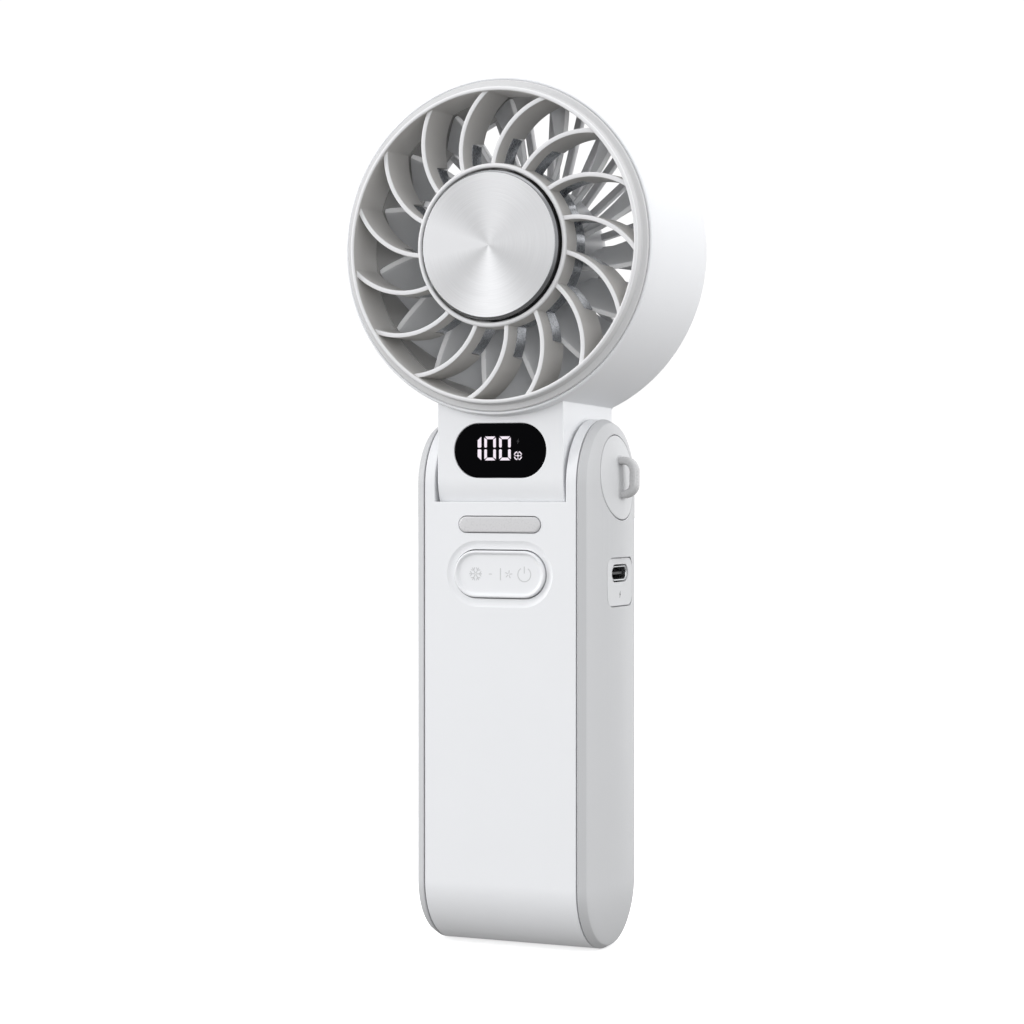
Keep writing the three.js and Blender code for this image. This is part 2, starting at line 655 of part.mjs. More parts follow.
const WHITE = 0xebecee;
const LIGHT_GREY = 0xcfd0d2;
const MID_GREY = 0xc4c5c7;
const GRILLE_GREY = 0xdcdcde;
const BLACK = 0x101012;
const BOARD_GREEN = 0x1f5a3c;
const STEEL = 0xb8babd;

function add(parent, name, piece, material, turned = false) {
  const mesh = new THREE.Mesh(geometryOf(piece), material);
  mesh.name = name;
  if (turned) mesh.rotation.z = Math.PI;
  parent.add(mesh);
}

function buildHandle() {
  const handle = new THREE.Group();
  add(handle, 'handle_shell', handleShell(), plastic(WHITE));
  add(handle, 'right_side_plate', sidePlate(true), plastic(LIGHT_GREY));
  add(handle, 'left_side_plate', sidePlate(false), plastic(LIGHT_GREY), true);
  add(handle, 'right_hinge_cap', hingeCap(true), plastic(MID_GREY));
  add(handle, 'left_hinge_cap', hingeCap(false), plastic(MID_GREY), true);
  add(handle, 'lanyard_loop', lanyardLoop(), plastic(MID_GREY));
  add(handle, 'right_hinge_pin', hingePin(), metal(STEEL));
  add(handle, 'left_hinge_pin', hingePin(), metal(STEEL), true);
  add(handle, 'right_spring_washer', springWasher(), metal(STEEL));
  add(handle, 'left_spring_washer', springWasher(), metal(STEEL), true);
  add(handle, 'rocker_button', rockerButton(), plastic(WHITE));
  add(handle, 'indicator_lens', indicatorLens(), plastic(MID_GREY, 0.3));
  add(handle, 'main_board', mainBoard(), plastic(BOARD_GREEN));
  add(handle, 'right_board_screw', boardScrew(14), metal(STEEL));
  add(handle, 'left_board_screw', boardScrew(-14), metal(STEEL));
  add(handle, 'right_tact_switch', tactSwitch(7), plastic(BLACK));
  add(handle, 'left_tact_switch', tactSwitch(-7), plastic(BLACK));
  add(handle, 'right_battery_cell', batteryCell(1), plastic(0x3a6ea5, 0.4));
  add(handle, 'left_battery_cell', batteryCell(-1), plastic(0x3a6ea5, 0.4));
  add(handle, 'battery_cradle', batteryCradle(), plastic(0x303234));
  add(handle, 'port_panel', portPanel(), plastic(MID_GREY));
  add(handle, 'port_socket', portSocket(), metal(STEEL));
  add(handle, 'port_tongue', portTongue(), plastic(BLACK));
  add(handle, 'port_board', portBoard(), plastic(BOARD_GREEN));
  return handle;
}

function buildHead() {
  const head = new THREE.Group();
  head.position.z = HEAD_HEIGHT;
  add(head, 'head_housing', headHousing(), plastic(WHITE));
  add(head, 'neck_rear_cover', neckRearCover(), plastic(WHITE));
  add(head, 'display_window', displayWindow(), plastic(BLACK, 0.1));
  add(head, 'display_board', displayBoard(), plastic(BOARD_GREEN));
  add(head, 'front_grille', frontGrille(), plastic(GRILLE_GREY));
  add(head, 'cooling_plate', coolingPlate(), metal(0xe6e7ea, 0.3));
  add(head, 'plate_gasket', plateGasket(), plastic(BLACK, 0.8));
  add(head, 'peltier_module', peltierModule(), plastic(0xf2f0ea, 0.6));
  add(head, 'heat_sink', heatSink(), metal(0x707276, 0.5));
  add(head, 'air_duct', airDuct(), plastic(MID_GREY));
  add(head, 'rear_grille', rearGrille(), plastic(GRILLE_GREY));
  add(head, 'motor_mount', motorMount(), plastic(MID_GREY));
  screwPlaces().forEach((place, i) => {
    add(head, `motor_screw_${i + 1}`, motorScrew(place), metal(STEEL));
  });
  add(head, 'motor_stator', motorStator(), metal(0x8a5a3a, 0.5));
  add(head, 'motor_board', motorBoard(), plastic(BOARD_GREEN));
  add(head, 'front_bearing', bearing(-4.2), metal(STEEL));
  add(head, 'rear_bearing', bearing(6), metal(STEEL));
  add(head, 'impeller', impeller(), plastic(GRILLE_GREY));
  add(head, 'rotor_can', rotorCan(), metal(STEEL));
  add(head, 'motor_shaft', motorShaft(), metal(STEEL));
  return head;
}

const fan = new THREE.Group();
fan.position.y = FRAME_SHIFT;
fan.add(buildHandle(), buildHead());

export default fan;
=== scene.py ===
"""Looks of a handheld electric fan with a cooling plate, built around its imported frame."""

import json
import math

import bmesh
import bpy
from mathutils import Matrix, Vector


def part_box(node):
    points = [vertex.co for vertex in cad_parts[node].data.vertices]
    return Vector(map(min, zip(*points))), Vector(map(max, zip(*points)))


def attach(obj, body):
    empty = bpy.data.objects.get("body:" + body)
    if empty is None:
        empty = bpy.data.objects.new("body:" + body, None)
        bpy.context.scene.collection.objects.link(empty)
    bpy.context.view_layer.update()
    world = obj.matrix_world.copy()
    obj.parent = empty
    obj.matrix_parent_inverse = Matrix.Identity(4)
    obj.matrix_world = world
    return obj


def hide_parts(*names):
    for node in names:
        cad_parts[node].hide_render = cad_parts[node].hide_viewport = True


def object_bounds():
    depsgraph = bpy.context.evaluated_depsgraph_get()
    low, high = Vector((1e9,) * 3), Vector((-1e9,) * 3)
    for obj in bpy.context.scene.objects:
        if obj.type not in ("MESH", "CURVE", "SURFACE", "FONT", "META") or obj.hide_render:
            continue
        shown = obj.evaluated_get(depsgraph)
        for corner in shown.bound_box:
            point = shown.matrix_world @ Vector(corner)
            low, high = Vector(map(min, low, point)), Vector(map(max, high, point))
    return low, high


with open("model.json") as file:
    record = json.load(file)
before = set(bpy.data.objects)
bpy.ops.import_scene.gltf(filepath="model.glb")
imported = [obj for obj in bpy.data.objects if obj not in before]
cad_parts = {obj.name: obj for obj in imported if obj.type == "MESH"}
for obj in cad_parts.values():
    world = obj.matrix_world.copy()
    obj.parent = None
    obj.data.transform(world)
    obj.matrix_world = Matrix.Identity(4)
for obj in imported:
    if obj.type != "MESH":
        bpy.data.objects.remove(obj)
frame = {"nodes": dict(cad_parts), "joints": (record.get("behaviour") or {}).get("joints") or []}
cad_low, cad_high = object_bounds()

# ---- Places, all from the frame. Shapes are drawn in millimetres. ----
MM = 0.001
joints = {joint["name"]: joint for joint in frame["joints"]}
SPIN = Vector(joints["impeller_spin"]["pos_m"]) / MM
TILT = Vector(joints["head_tilt"]["pos_m"]) / MM


def box_mm(node):
    low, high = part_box(node)
    return low / MM, high / MM


def middle_mm(node):
    low, high = box_mm(node)
    return (low + high) / 2


shell_low, shell_high = box_mm("handle_shell")
MID_Y = (shell_low.y + shell_high.y) / 2
HANDLE = Vector((0, MID_Y, 0))      # shapes of the handle are drawn about this point
HEAD = Vector((0, MID_Y, SPIN.z))   # shapes of the head are drawn about this one
HALF_DEPTH = (shell_high.y - shell_low.y) / 2
TOP_CENTRE = shell_high.z - HALF_DEPTH
BOTTOM_CENTRE = shell_low.z + HALF_DEPTH
MID_HEIGHT = (TOP_CENTRE + BOTTOM_CENTRE) / 2
HALF_SPINE = (TOP_CENTRE - BOTTOM_CENTRE) / 2
HALF_WIDTH = shell_high.x
PIVOT = TILT.z
FRONT = -HALF_DEPTH
ROUND = 160                          # sides of a large turned piece
WELD = 0.004                         # points closer than this are merged before a bevel
THROUGH = 30                         # a cutter this long either way goes right through
scene = bpy.context.scene


# ---- Mesh building ----

def mesh_piece(name, points, faces, origin):
    """An object from points in millimetres about an origin, with its normals facing out."""
    mesh = bpy.data.meshes.new(name)
    mesh.from_pydata([(Vector(p) + origin) * MM for p in points], [], faces)
    mesh.validate()
    obj = bpy.data.objects.new(name, mesh)
    scene.collection.objects.link(obj)
    work = bmesh.new()
    work.from_mesh(mesh)
    bmesh.ops.recalc_face_normals(work, faces=work.faces)
    work.to_mesh(mesh)
    work.free()
    return obj


def skin(rings, closed=False):
    """Points and faces of a surface through rings that have the same number of points.
    It closes on itself if closed is true. Otherwise its first and last rings are capped."""
    count = len(rings[0])
    points = [p for ring in rings for p in ring]
    faces = []
    for i in range(len(rings) if closed else len(rings) - 1):
        a, b = i * count, (i + 1) % len(rings) * count
        for k in range(count):
            m = (k + 1) % count
            faces.append((a + k, a + m, b + m, b + k))
    if not closed:
        faces.append(tuple(range(count)))
        faces.append(tuple(range((len(rings) - 1) * count, len(rings) * count)))
    return points, faces


def on_side(u, v, height):
    """Places an outline (y, z) at a distance along x."""
    return (height, u, v)


def on_front(u, v, height):
    """Places an outline (x, z) at a depth along y."""
    return (u, height, v)


def circle(radius, steps=ROUND):
    return [(radius * math.sin(math.tau * i / steps), radius * math.cos(math.tau * i / steps))
            for i in range(steps)]


def stadium(radius, half, steps=40):
    """Outline with straight sides along v, as long as twice half."""
    points = []
    for end in (1, -1):
        for i in range(steps + 1):
            a = math.pi * i / steps
            points.append((end * radius * math.cos(a), end * (half + radius * math.sin(a))))
    return points


def wide_stadium(radius, half, steps=32):
    """The same outline with its straight sides along u."""
    return [(v, u) for u, v in stadium(radius, half, steps)]


def rounded(width, height, radius, steps=10):
    """Outline of a rectangle with rounded corners."""
    points = []
    for k, (sx, sy) in enumerate(((1, 1), (-1, 1), (-1, -1), (1, -1))):
        for i in range(steps + 1):
            a = math.pi / 2 * (k + i / steps)
            points.append((sx * (width / 2 - radius) + radius * math.cos(a),
                           sy * (height / 2 - radius) + radius * math.sin(a)))
    return points


def stack(name, outline, profile, place, origin, centre=(0, 0), closed=False):
    """A skin through copies of an outline. The profile lists (size, height) pairs."""
    rings = [[place(u + centre[0], v + centre[1], height) for u, v in outline(size)]
             for size, height in profile]
    return mesh_piece(name, *skin(rings, closed), origin)


def prism(name, outline, low, high, place, origin, centre=(0, 0)):
    """A straight bar with the given outline."""
    return stack(name, lambda size: outline, [(0, low), (0, high)], place, origin, centre)


def turned(name, profile, origin, place=on_front, centre=(0, 0), closed=False, steps=ROUND):
    """A lathe shape. The profile lists (radius, height) pairs."""
    return stack(name, lambda r: circle(r, steps), profile, place, origin, centre, closed)


def block(name, low, high, origin):
    outline = [(low[0], low[2]), (high[0], low[2]), (high[0], high[2]), (low[0], high[2])]
    return prism(name, outline, low[1], high[1], on_front, origin)


def settle(obj):
    """Turns the object's modifiers into its mesh."""
    bpy.context.view_layer.update()
    graph = bpy.context.evaluated_depsgraph_get()
    mesh = bpy.data.meshes.new_from_object(obj.evaluated_get(graph))
    obj.modifiers.clear()
    old, obj.data = obj.data, mesh
    bpy.data.meshes.remove(old)


def carve(obj, *tools, how="DIFFERENCE"):
    """Takes the tools away from the object, or joins them to it, and deletes them."""
    for tool in tools:
        step = obj.modifiers.new("carve", "BOOLEAN")
        step.operation = how
        step.solver = "EXACT"
        step.object = tool
    settle(obj)
    for tool in tools:
        bpy.data.objects.remove(tool)
    return obj


def fuse(obj, *others):
    """Puts separate closed shapes in one mesh, without a boolean."""
    work = bmesh.new()
    for item in (obj, *others):
        work.from_mesh(item.data)
    work.to_mesh(obj.data)
    work.free()
    for other in others:
        bpy.data.objects.remove(other)
    return obj


def round_edges(obj, width, segments=3, angle=38):
    """Bevels every edge that is sharper than the angle in degrees."""
    work = bmesh.new()
    work.from_mesh(obj.data)
    bmesh.ops.remove_doubles(work, verts=work.verts, dist=WELD * MM)
    bmesh.ops.dissolve_degenerate(work, dist=WELD * MM, edges=work.edges)
    work.to_mesh(obj.data)
    work.free()
    step = obj.modifiers.new("edges", "BEVEL")
    step.width = width * MM
    step.segments = segments
    step.limit_method = "ANGLE"
    step.angle_limit = math.radians(angle)
    step.use_clamp_overlap = False
    step.miter_outer = "MITER_ARC"
    settle(obj)
    return obj


def shade(obj, angle=48):
    """Smooth shading that keeps edges sharper than the angle in degrees."""
    obj.data.shade_smooth()
    obj.data.set_sharp_from_angle(angle=math.radians(angle))
    step = obj.modifiers.new("normals", "WEIGHTED_NORMAL")
    step.keep_sharp = True
    settle(obj)


def fit(obj, material, body, slot, *nodes, bevel=0.0, angle=48):
    """Last steps of every piece: edges, shading, material, body and hiding the nodes it stands for. The slot is
    not used.
    """
    if bevel:
        round_edges(obj, bevel)
    shade(obj, angle)
    obj.data.materials.clear()
    obj.data.materials.append(material)
    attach(obj, body)
    if nodes:
        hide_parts(*nodes)
    return obj


# ---- Materials ----

def nodes_of(name):
    """A new material, its tree, its shader and the object coordinates, which are in metres."""
    material = bpy.data.materials.new(name)
    material.use_nodes = True
    tree = material.node_tree
    shader = tree.nodes["Principled BSDF"]
    place = tree.nodes.new("ShaderNodeTexCoord").outputs["Object"]
    return material, tree, shader, place


def noise(tree, place, scale, detail=3.0, rough=0.55):
    """Noise with about as many cells to the metre as its scale."""
    node = tree.nodes.new("ShaderNodeTexNoise")
    node.inputs["Scale"].default_value = scale
    node.inputs["Detail"].default_value = detail
    node.inputs["Roughness"].default_value = rough
    tree.links.new(place, node.inputs["Vector"])
    return node.outputs["Fac"]


def mapped(tree, value, low, high, start=0.3, end=0.7):
    """Carries a value from start..end to low..high."""
    node = tree.nodes.new("ShaderNodeMapRange")
    for key, number in (("From Min", start), ("From Max", end), ("To Min", low), ("To Max", high)):
        node.inputs[key].default_value = number
    tree.links.new(value, node.inputs["Value"])
    return node.outputs["Result"]


def blended(tree, value, first, second, start=0.3, end=0.7):
    """A colour that goes from the first to the second as the value goes from start to end."""
    ramp = tree.nodes.new("ShaderNodeValToRGB")
    ramp.color_ramp.elements[0].position = start
    ramp.color_ramp.elements[0].color = (*first, 1)
    ramp.color_ramp.elements[1].position = end
    ramp.color_ramp.elements[1].color = (*second, 1)
    tree.links.new(value, ramp.inputs["Fac"])
    return ramp.outputs["Color"]


def bumped(tree, shader, value, strength, depth_mm):
    node = tree.nodes.new("ShaderNodeBump")
    node.inputs["Strength"].default_value = strength
    node.inputs["Distance"].default_value = depth_mm * MM
    tree.links.new(value, node.inputs["Height"])
    tree.links.new(node.outputs["Normal"], shader.inputs["Normal"])


PATCHES = 55.0        # cells to the metre of a surface's soft patches of tone
GRAIN_STRENGTH = 0.35


def surface(name, tone, spread=0.03, rough=(0.4, 0.5), grain=2600.0, depth=0.012, **constants):
    """A moulded or machined surface: soft patches of tone, a fine grain in gloss and height.
    Spread is how much darker a patch is, grain is in cells to the metre and depth in millimetres.
    The constants are set on the shader's own sockets."""
    material, tree, shader, place = nodes_of(name)
    patches = noise(tree, place, PATCHES, 4.0)
    darker = tuple(c * (1 - spread) for c in tone)
    tree.links.new(blended(tree, patches, darker, tone), shader.inputs["Base Color"])
    fine = noise(tree, place, grain, 2.0)
    tree.links.new(mapped(tree, fine, *rough), shader.inputs["Roughness"])
    bumped(tree, shader, fine, GRAIN_STRENGTH, depth)
    for key, number in constants.items():
        shader.inputs[key.replace("_", " ")].default_value = number
    return material


# Each wave of painted sheen round a brushed face, which stands in for reflected light: how many crests, the
# angle of one in degrees, its height.
PAINTED_SHEEN_WAVES = ((1, 220, 0.06), (2, 90, 0.17), (3, 45, 0.18), (4, 90, 0.14))
PAINTED_SHEEN_MEAN = 0.52
PAINTED_SHEEN_FLOOR = 0.62    # tone of the darkest sector of painted sheen, as a share of the brightest
LINES = 5200.0        # fine rings to the metre of radius
LINE_DRIFT = 0.9      # how fast a ring changes on its way round
LINE_SHARE = 0.4      # how much a ring changes the painted sheen


def brushed(name, tone):
    """A turned metal face: fine rings, and broad wedges of painted sheen in its colour, lighter and darker
    sectors that stand in for reflected light.
    """
    material, tree, shader, place = nodes_of(name)
    shader.inputs["Metallic"].default_value = 0.6
    shader.inputs["Anisotropic"].default_value = 0.7
    moved = tree.nodes.new("ShaderNodeVectorMath")
    moved.operation = "SUBTRACT"
    moved.inputs[1].default_value = HEAD * MM
    tree.links.new(place, moved.inputs[0])
    split = tree.nodes.new("ShaderNodeSeparateXYZ")
    tree.links.new(moved.outputs[0], split.inputs[0])

    def calculate(operation, *terms):
        node = tree.nodes.new("ShaderNodeMath")
        node.operation = operation
        for i, term in enumerate(terms):
            if isinstance(term, (int, float)):
                node.inputs[i].default_value = term
            else:
                tree.links.new(term, node.inputs[i])
        return node.outputs[0]

    across, up = split.outputs["X"], split.outputs["Z"]
    radius = calculate("SQRT", calculate("ADD", calculate("MULTIPLY", across, across),
                                         calculate("MULTIPLY", up, up)))
    angle = calculate("ARCTAN2", across, up)
    rings = tree.nodes.new("ShaderNodeCombineXYZ")
    tree.links.new(calculate("MULTIPLY", radius, LINES), rings.inputs["X"])
    tree.links.new(calculate("MULTIPLY", angle, LINE_DRIFT), rings.inputs["Y"])
    scratch = noise(tree, rings.outputs[0], 1.0, 3.0, 0.7)
    # Painted sheen: the colour is lighter and darker in sectors round the middle.
    painted_wedge = PAINTED_SHEEN_MEAN
    for crests, start, height in PAINTED_SHEEN_WAVES:
        from_crest = calculate("SUBTRACT", angle, math.radians(start))
        wave = calculate("COSINE", calculate("MULTIPLY", from_crest, crests))
        painted_wedge = calculate("ADD", painted_wedge, calculate("MULTIPLY", wave, height))
    line = calculate("MULTIPLY", calculate("SUBTRACT", scratch, 0.5), LINE_SHARE)
    sheen = calculate("ADD", painted_wedge, line)
    low = tuple(c * PAINTED_SHEEN_FLOOR for c in tone)
    tree.links.new(blended(tree, sheen, low, tone, 0.1, 0.9), shader.inputs["Base Color"])
    tree.links.new(mapped(tree, scratch, 0.3, 0.42), shader.inputs["Roughness"])
    tangent = tree.nodes.new("ShaderNodeTangent")
    tangent.direction_type = "RADIAL"
    tangent.axis = "Y"
    tree.links.new(tangent.outputs[0], shader.inputs["Tangent"])
    bumped(tree, shader, scratch, 0.25, 0.006)
    return material


def lit(name, tone, strength):
    """A lit mark on the display's glass, a little uneven as a diffused lamp is."""
    material, tree, shader, place = nodes_of(name)
    glow = noise(tree, place, 900.0, 1.0)

    def share(part):
        return tuple(c * part for c in tone)

    tree.links.new(blended(tree, glow, share(0.9), tone), shader.inputs["Emission Color"])
    tree.links.new(blended(tree, glow, share(0.05), share(0.06)), shader.inputs["Base Color"])
    shader.inputs["Roughness"].default_value = 0.4
    shader.inputs["Emission Strength"].default_value = strength
    return material


WHITE = surface("white_satin_plastic", (0.8, 0.808, 0.825), spread=0.012)
PLATE = surface("grey_satin_plastic", (0.535, 0.54, 0.55), spread=0.015)
TRIM = surface("grey_trim_plastic", (0.6, 0.605, 0.615), spread=0.02)
# A darker, glossier copy of the trim's colour for the lanyard eye: painted shade.
EYE_PAINTED_SHADE = surface("eye_painted_shade", (0.5, 0.5, 0.505), spread=0.03, rough=(0.24, 0.34))
LENS = surface("diffusing_lens", (0.62, 0.617, 0.625), spread=0.02, rough=(0.25, 0.33), grain=1800.0,
               depth=0.006)
GRILLE = surface("grille_plastic", (0.74, 0.74, 0.75), spread=0.015)
RING = surface("ring_plastic", (0.74, 0.74, 0.75), spread=0.015)
# Darker in the groove round the grille: painted shade.
GROOVE_PAINTED_SHADE = surface("groove_painted_shade", (0.62, 0.62, 0.625), spread=0.02)
# A darker copy of the grille's colour for the faces that don't face the front: painted shade.
WALL_PAINTED_SHADE = surface("inner_wall_painted_shade", (0.6, 0.59, 0.575), spread=0.03)
# The duct is the grille's plastic, darkened with painted shade.
DUCT_PAINTED_SHADE = surface("duct_painted_shade", (0.4, 0.393, 0.383), spread=0.03)
BLADES = surface("impeller_plastic", (0.74, 0.75, 0.765), spread=0.03, rough=(0.3, 0.4))
# A lighter copy of the impeller's colour for the blades' front edges: a painted highlight.
BLADE_EDGES_PAINTED_HIGHLIGHT = surface("blade_edge_painted_highlight", (0.92, 0.925, 0.935), spread=0.02, rough=(0.25, 0.35))
GLASS = surface("display_glass", (0.002, 0.002, 0.0025), spread=0.3, rough=(0.05, 0.09), grain=900.0,
                depth=0.0004, Specular_IOR_Level=0.02)
# Brushed aluminium with painted sheen in its colour.
BRUSHED_PAINTED_SHEEN = brushed("brushed_aluminium_painted_sheen", (0.87, 0.873, 0.885))
# The bevel's metal is darkened: a painted dark reflection.
POLISHED_PAINTED_DARK_REFLECTION = surface("cut_aluminium_painted_dark_reflection", (0.3, 0.305, 0.315), spread=0.05, rough=(0.14, 0.22), grain=1500.0,
                   depth=0.003, Metallic=1.0)
DARK_METAL = surface("satin_aluminium", (0.4, 0.415, 0.44), spread=0.12, rough=(0.22, 0.32), grain=1600.0,
                     depth=0.006, Metallic=1.0)
STEEL = surface("machined_steel", (0.6, 0.61, 0.62), spread=0.1, rough=(0.22, 0.36), grain=1500.0,
                depth=0.004, Metallic=1.0)
RUBBER = surface("black_rubber", (0.018, 0.018, 0.019), spread=0.25, rough=(0.6, 0.75), grain=2200.0,
                 depth=0.02)
BLACK = surface("black_plastic", (0.022, 0.022, 0.024), spread=0.2, rough=(0.4, 0.55))
BOARD = surface("board_green", (0.012, 0.09, 0.045), spread=0.35, rough=(0.3, 0.42), grain=700.0, depth=0.03)
CELL = surface("cell_wrap", (0.04, 0.14, 0.34), spread=0.2, rough=(0.25, 0.35), grain=500.0, depth=0.01)
CERAMIC = surface("white_ceramic", (0.75, 0.73, 0.69), spread=0.06, rough=(0.5, 0.62))
COPPER = surface("wound_copper", (0.55, 0.24, 0.11), spread=0.35, rough=(0.3, 0.45), grain=1300.0,
                 depth=0.05, Metallic=1.0)
MARK = surface("moulded_mark", (0.6, 0.605, 0.615), spread=0.04)
DARK_MARK = surface("dark_mark", (0.1, 0.1, 0.105), spread=0.1)
GLOW = lit("lit_mark", (1.0, 0.9, 1.0), 0.9)
FAINT = lit("unlit_mark", (0.06, 0.06, 0.07), 0.1)

BY_SLOT = {
    "white_shell": WHITE, "button_white": WHITE, "grey_plate": PLATE, "grey_trim": TRIM, "indicator": LENS,
    "grille": GRILLE, "impeller_plastic": BLADES, "display_black": GLASS, "brushed_plate": BRUSHED_PAINTED_SHEEN,
    "dark_aluminium": DARK_METAL, "steel": STEEL, "black_rubber": RUBBER, "black_plastic": BLACK,
    "circuit_board": BOARD, "cell_wrap": CELL, "ceramic": CERAMIC, "motor_winding": COPPER,
}
# Words in a CAD node's name that say which slot it takes. The first slot that fits is used.
NODE_SLOTS = {
    "steel": ("pin", "washer", "screw", "bearing", "rotor_can", "motor_shaft", "port_socket"),
    "circuit_board": ("_board",),
    "cell_wrap": ("battery_cell",),
    "black_plastic": ("tact_switch", "port_tongue", "battery_cradle"),
    "black_rubber": ("gasket",),
    "ceramic": ("peltier",),
    "motor_winding": ("stator",),
    "dark_aluminium": ("heat_sink",),
    "brushed_plate": ("cooling_plate",),
    "display_black": ("display_window",),
    "grille": ("grille", "air_duct", "motor_mount"),
    "impeller_plastic": ("impeller",),
    "indicator": ("indicator",),
    "grey_plate": ("side_plate",),
    "grey_trim": ("hinge_cap", "lanyard_loop", "port_panel"),
    "button_white": ("rocker",),
    "white_shell": ("handle_shell", "housing", "cover"),
}
for node_name, node in frame["nodes"].items():
    slot_name = next(s for s, words in NODE_SLOTS.items() if any(w in node_name for w in words))
    for i in range(len(node.data.materials)):
        node.data.materials[i] = BY_SLOT[slot_name]


# ---- Handle ----

def arc(centre, radius, start, end, steps):
    """Points of an arc in the side view, (y, z). Angles are from +y towards +z, in degrees."""
    points = []
    for i in range(steps + 1):
        a = math.radians(start + (end - start) * i / steps)
        points.append((centre[0] + radius * math.cos(a), centre[1] + radius * math.sin(a)))
    return points


ROCKER_Z = middle_mm("rocker_button").z
LIGHT_Z = middle_mm("indicator_lens").z
PANEL_Z = middle_mm("port_panel").z
MOUTH_Z = middle_mm("port_tongue").z
BARREL = 15.6                       # the slot's radius about the hinge
FRONT_LIP, REAR_LIP = 103.4, PIVOT - BARREL
SLOT_HALF = 16.6                    # half the width of the slot between the ears
PIN_BORE = 4.1                      # radius of the holes for the hinge pins
WALL_THICK = 2.2
BULKHEAD = 91.3                     # underside of the wall that closes the handle's hollow
SEAM = 0.16                         # rounding of the shell's edges
ROCKER_HALF, LENS_HALF = 6.05, 8.45     # half the straight sides of the button and the light bar
LENS_RADIUS = 1.82


def hinge_bore(origin, height):
    return turned("tool", [(PIN_BORE, -THROUGH), (PIN_BORE, THROUGH)], origin, on_side, (0, height), steps=48)


def handle_shell():
    """The sleeve that wraps the front, foot and back, with the ears, the slot and the openings."""
    rim = [(HALF_DEPTH - SEAM, HALF_WIDTH), (HALF_DEPTH - 0.07, HALF_WIDTH - 0.02),
           (HALF_DEPTH - 0.02, HALF_WIDTH - 0.07), (HALF_DEPTH, HALF_WIDTH - SEAM)]
    profile = [(r, -x) for r, x in rim] + [(r, x) for r, x in reversed(rim)]
    shell = stack("handle_sleeve", lambda r: stadium(r, HALF_SPINE, 56), profile, on_side, HANDLE,
                  (0, MID_HEIGHT))
    inside = HALF_DEPTH - WALL_THICK
    hollow = (arc((0, BOTTOM_CENTRE), inside, 180, 360, 48)
              + [(inside, BULKHEAD), (-8.2, BULKHEAD), (-8.6, 95.7), (-inside, 95.7)])
    lip_drop = math.degrees(math.asin((PIVOT - FRONT_LIP) / BARREL))
    slot = (arc((0, PIVOT), BARREL, 180 + lip_drop, 270, 40)
            + [(20, REAR_LIP), (20, 130), (-20, 130), (-20, FRONT_LIP)])
    carve(shell,
          prism("tool", hollow, -25, 25, on_side, HANDLE),
          prism("tool", slot, -SLOT_HALF, SLOT_HALF, on_side, HANDLE),
          prism("tool", wide_stadium(5.68, ROCKER_HALF), FRONT - 1, FRONT + 3.2, on_front, HANDLE,
                (0, ROCKER_Z)),
          prism("tool", wide_stadium(LENS_RADIUS + 0.16, LENS_HALF), FRONT - 1, FRONT + 2.6, on_front, HANDLE,
                (0, LIGHT_Z)),
          hinge_bore(HANDLE, PIVOT))
    round_edges(shell, SEAM)
    dish = stack("tool", lambda r: wide_stadium(r, 5.7, 40),
                 [(8.6, FRONT - 0.6), (7.75, FRONT - 0.02), (7.6, FRONT + 0.03), (7.35, FRONT + 0.15),
                  (7.0, FRONT + 0.28), (6.6, FRONT + 0.36), (6.1, FRONT + 0.4)],
                 on_front, HANDLE, (0, ROCKER_Z))
    carve(shell, dish)
    return fit(shell, WHITE, "handle", "white_shell", "handle_shell")


PLATE_FACE = 21.4                   # x of a side face at its edge
CROWN = 24.3                        # and along its middle
CROWN_SPAN = 14.4                   # distance from that middle to the edge


def crown(distance):
    """Height of a side face at a distance from its middle line."""
    return CROWN - (CROWN - PLATE_FACE) * (distance / CROWN_SPAN) ** 2


def crowned_ring(side, radius, drop, steps=120):
    """A circle about the pivot, lying a little under the crowned side face."""
    ring = []
    for u, v in circle(radius, steps):
        distance = math.hypot(u, max(0.0, PIVOT + v - TOP_CENTRE))
        ring.append((side * (crown(distance) - drop), u, PIVOT + v))
    return ring


def side_plate(side, name):
    """A crowned side face with a chamfered edge and a round seat for the hinge cap."""
    profile = [(15.2, 19.38), (15.33, 19.4), (15.39, 19.46), (15.4, 19.58), (15.36, 19.8), (14.56, 21.2),
               (14.4, 21.36), (14.15, 21.45)]
    profile += [(d, crown(d)) for d in (13.8, 13, 12, 10.5, 9, 7, 5, 3, 1.4, 0.02)]
    profile = [(r, side * x) for r, x in profile]
    plate = stack(name, lambda r: stadium(r, HALF_SPINE, 56), profile, on_side, HANDLE, (0, MID_HEIGHT))
    cap_seat = ((9.93, 6.0), (9.93, 0.13), (9.97, 0.04), (10.06, 0.0), (10.3, -0.6))
    tools = [mesh_piece("tool", *skin([crowned_ring(side, r, drop) for r, drop in cap_seat]), HANDLE)]
    if side > 0:
        tools.append(prism("tool", rounded(15.1, 11.4, 2.55, 14), 15, THROUGH, on_side, HANDLE, (0, PANEL_Z)))
    carve(plate, *tools)
    return fit(plate, PLATE, "handle", "grey_plate", f"{name.split('_')[0]}_side_plate")


def hinge_cap(side, name):
    """A round cap that continues the crowned face. The right one has a slot for the lanyard eye."""
    radius = 9.78
    levels = [(radius - 0.04, 0.1), (radius - 0.12, 0.03), (radius - 0.25, 0.0)]
    levels += [(0.4 * step, 0.0) for step in range(23, 0, -1)] + [(0.02, 0.0)]
    back = [[(side * PLATE_FACE, u, PIVOT + v) for u, v in circle(r, 120)] for r in (9.5, radius)]
    cap = mesh_piece(name, *skin(back + [crowned_ring(side, r, drop) for r, drop in levels]), HANDLE)
    if side > 0:
        carve(cap, prism("tool", rounded(4, 10.2, 1.3, 10), 22, THROUGH, on_side, HANDLE, (0, PIVOT)))
        round_edges(cap, 0.14)
    return fit(cap, TRIM, "handle", "grey_trim", name)


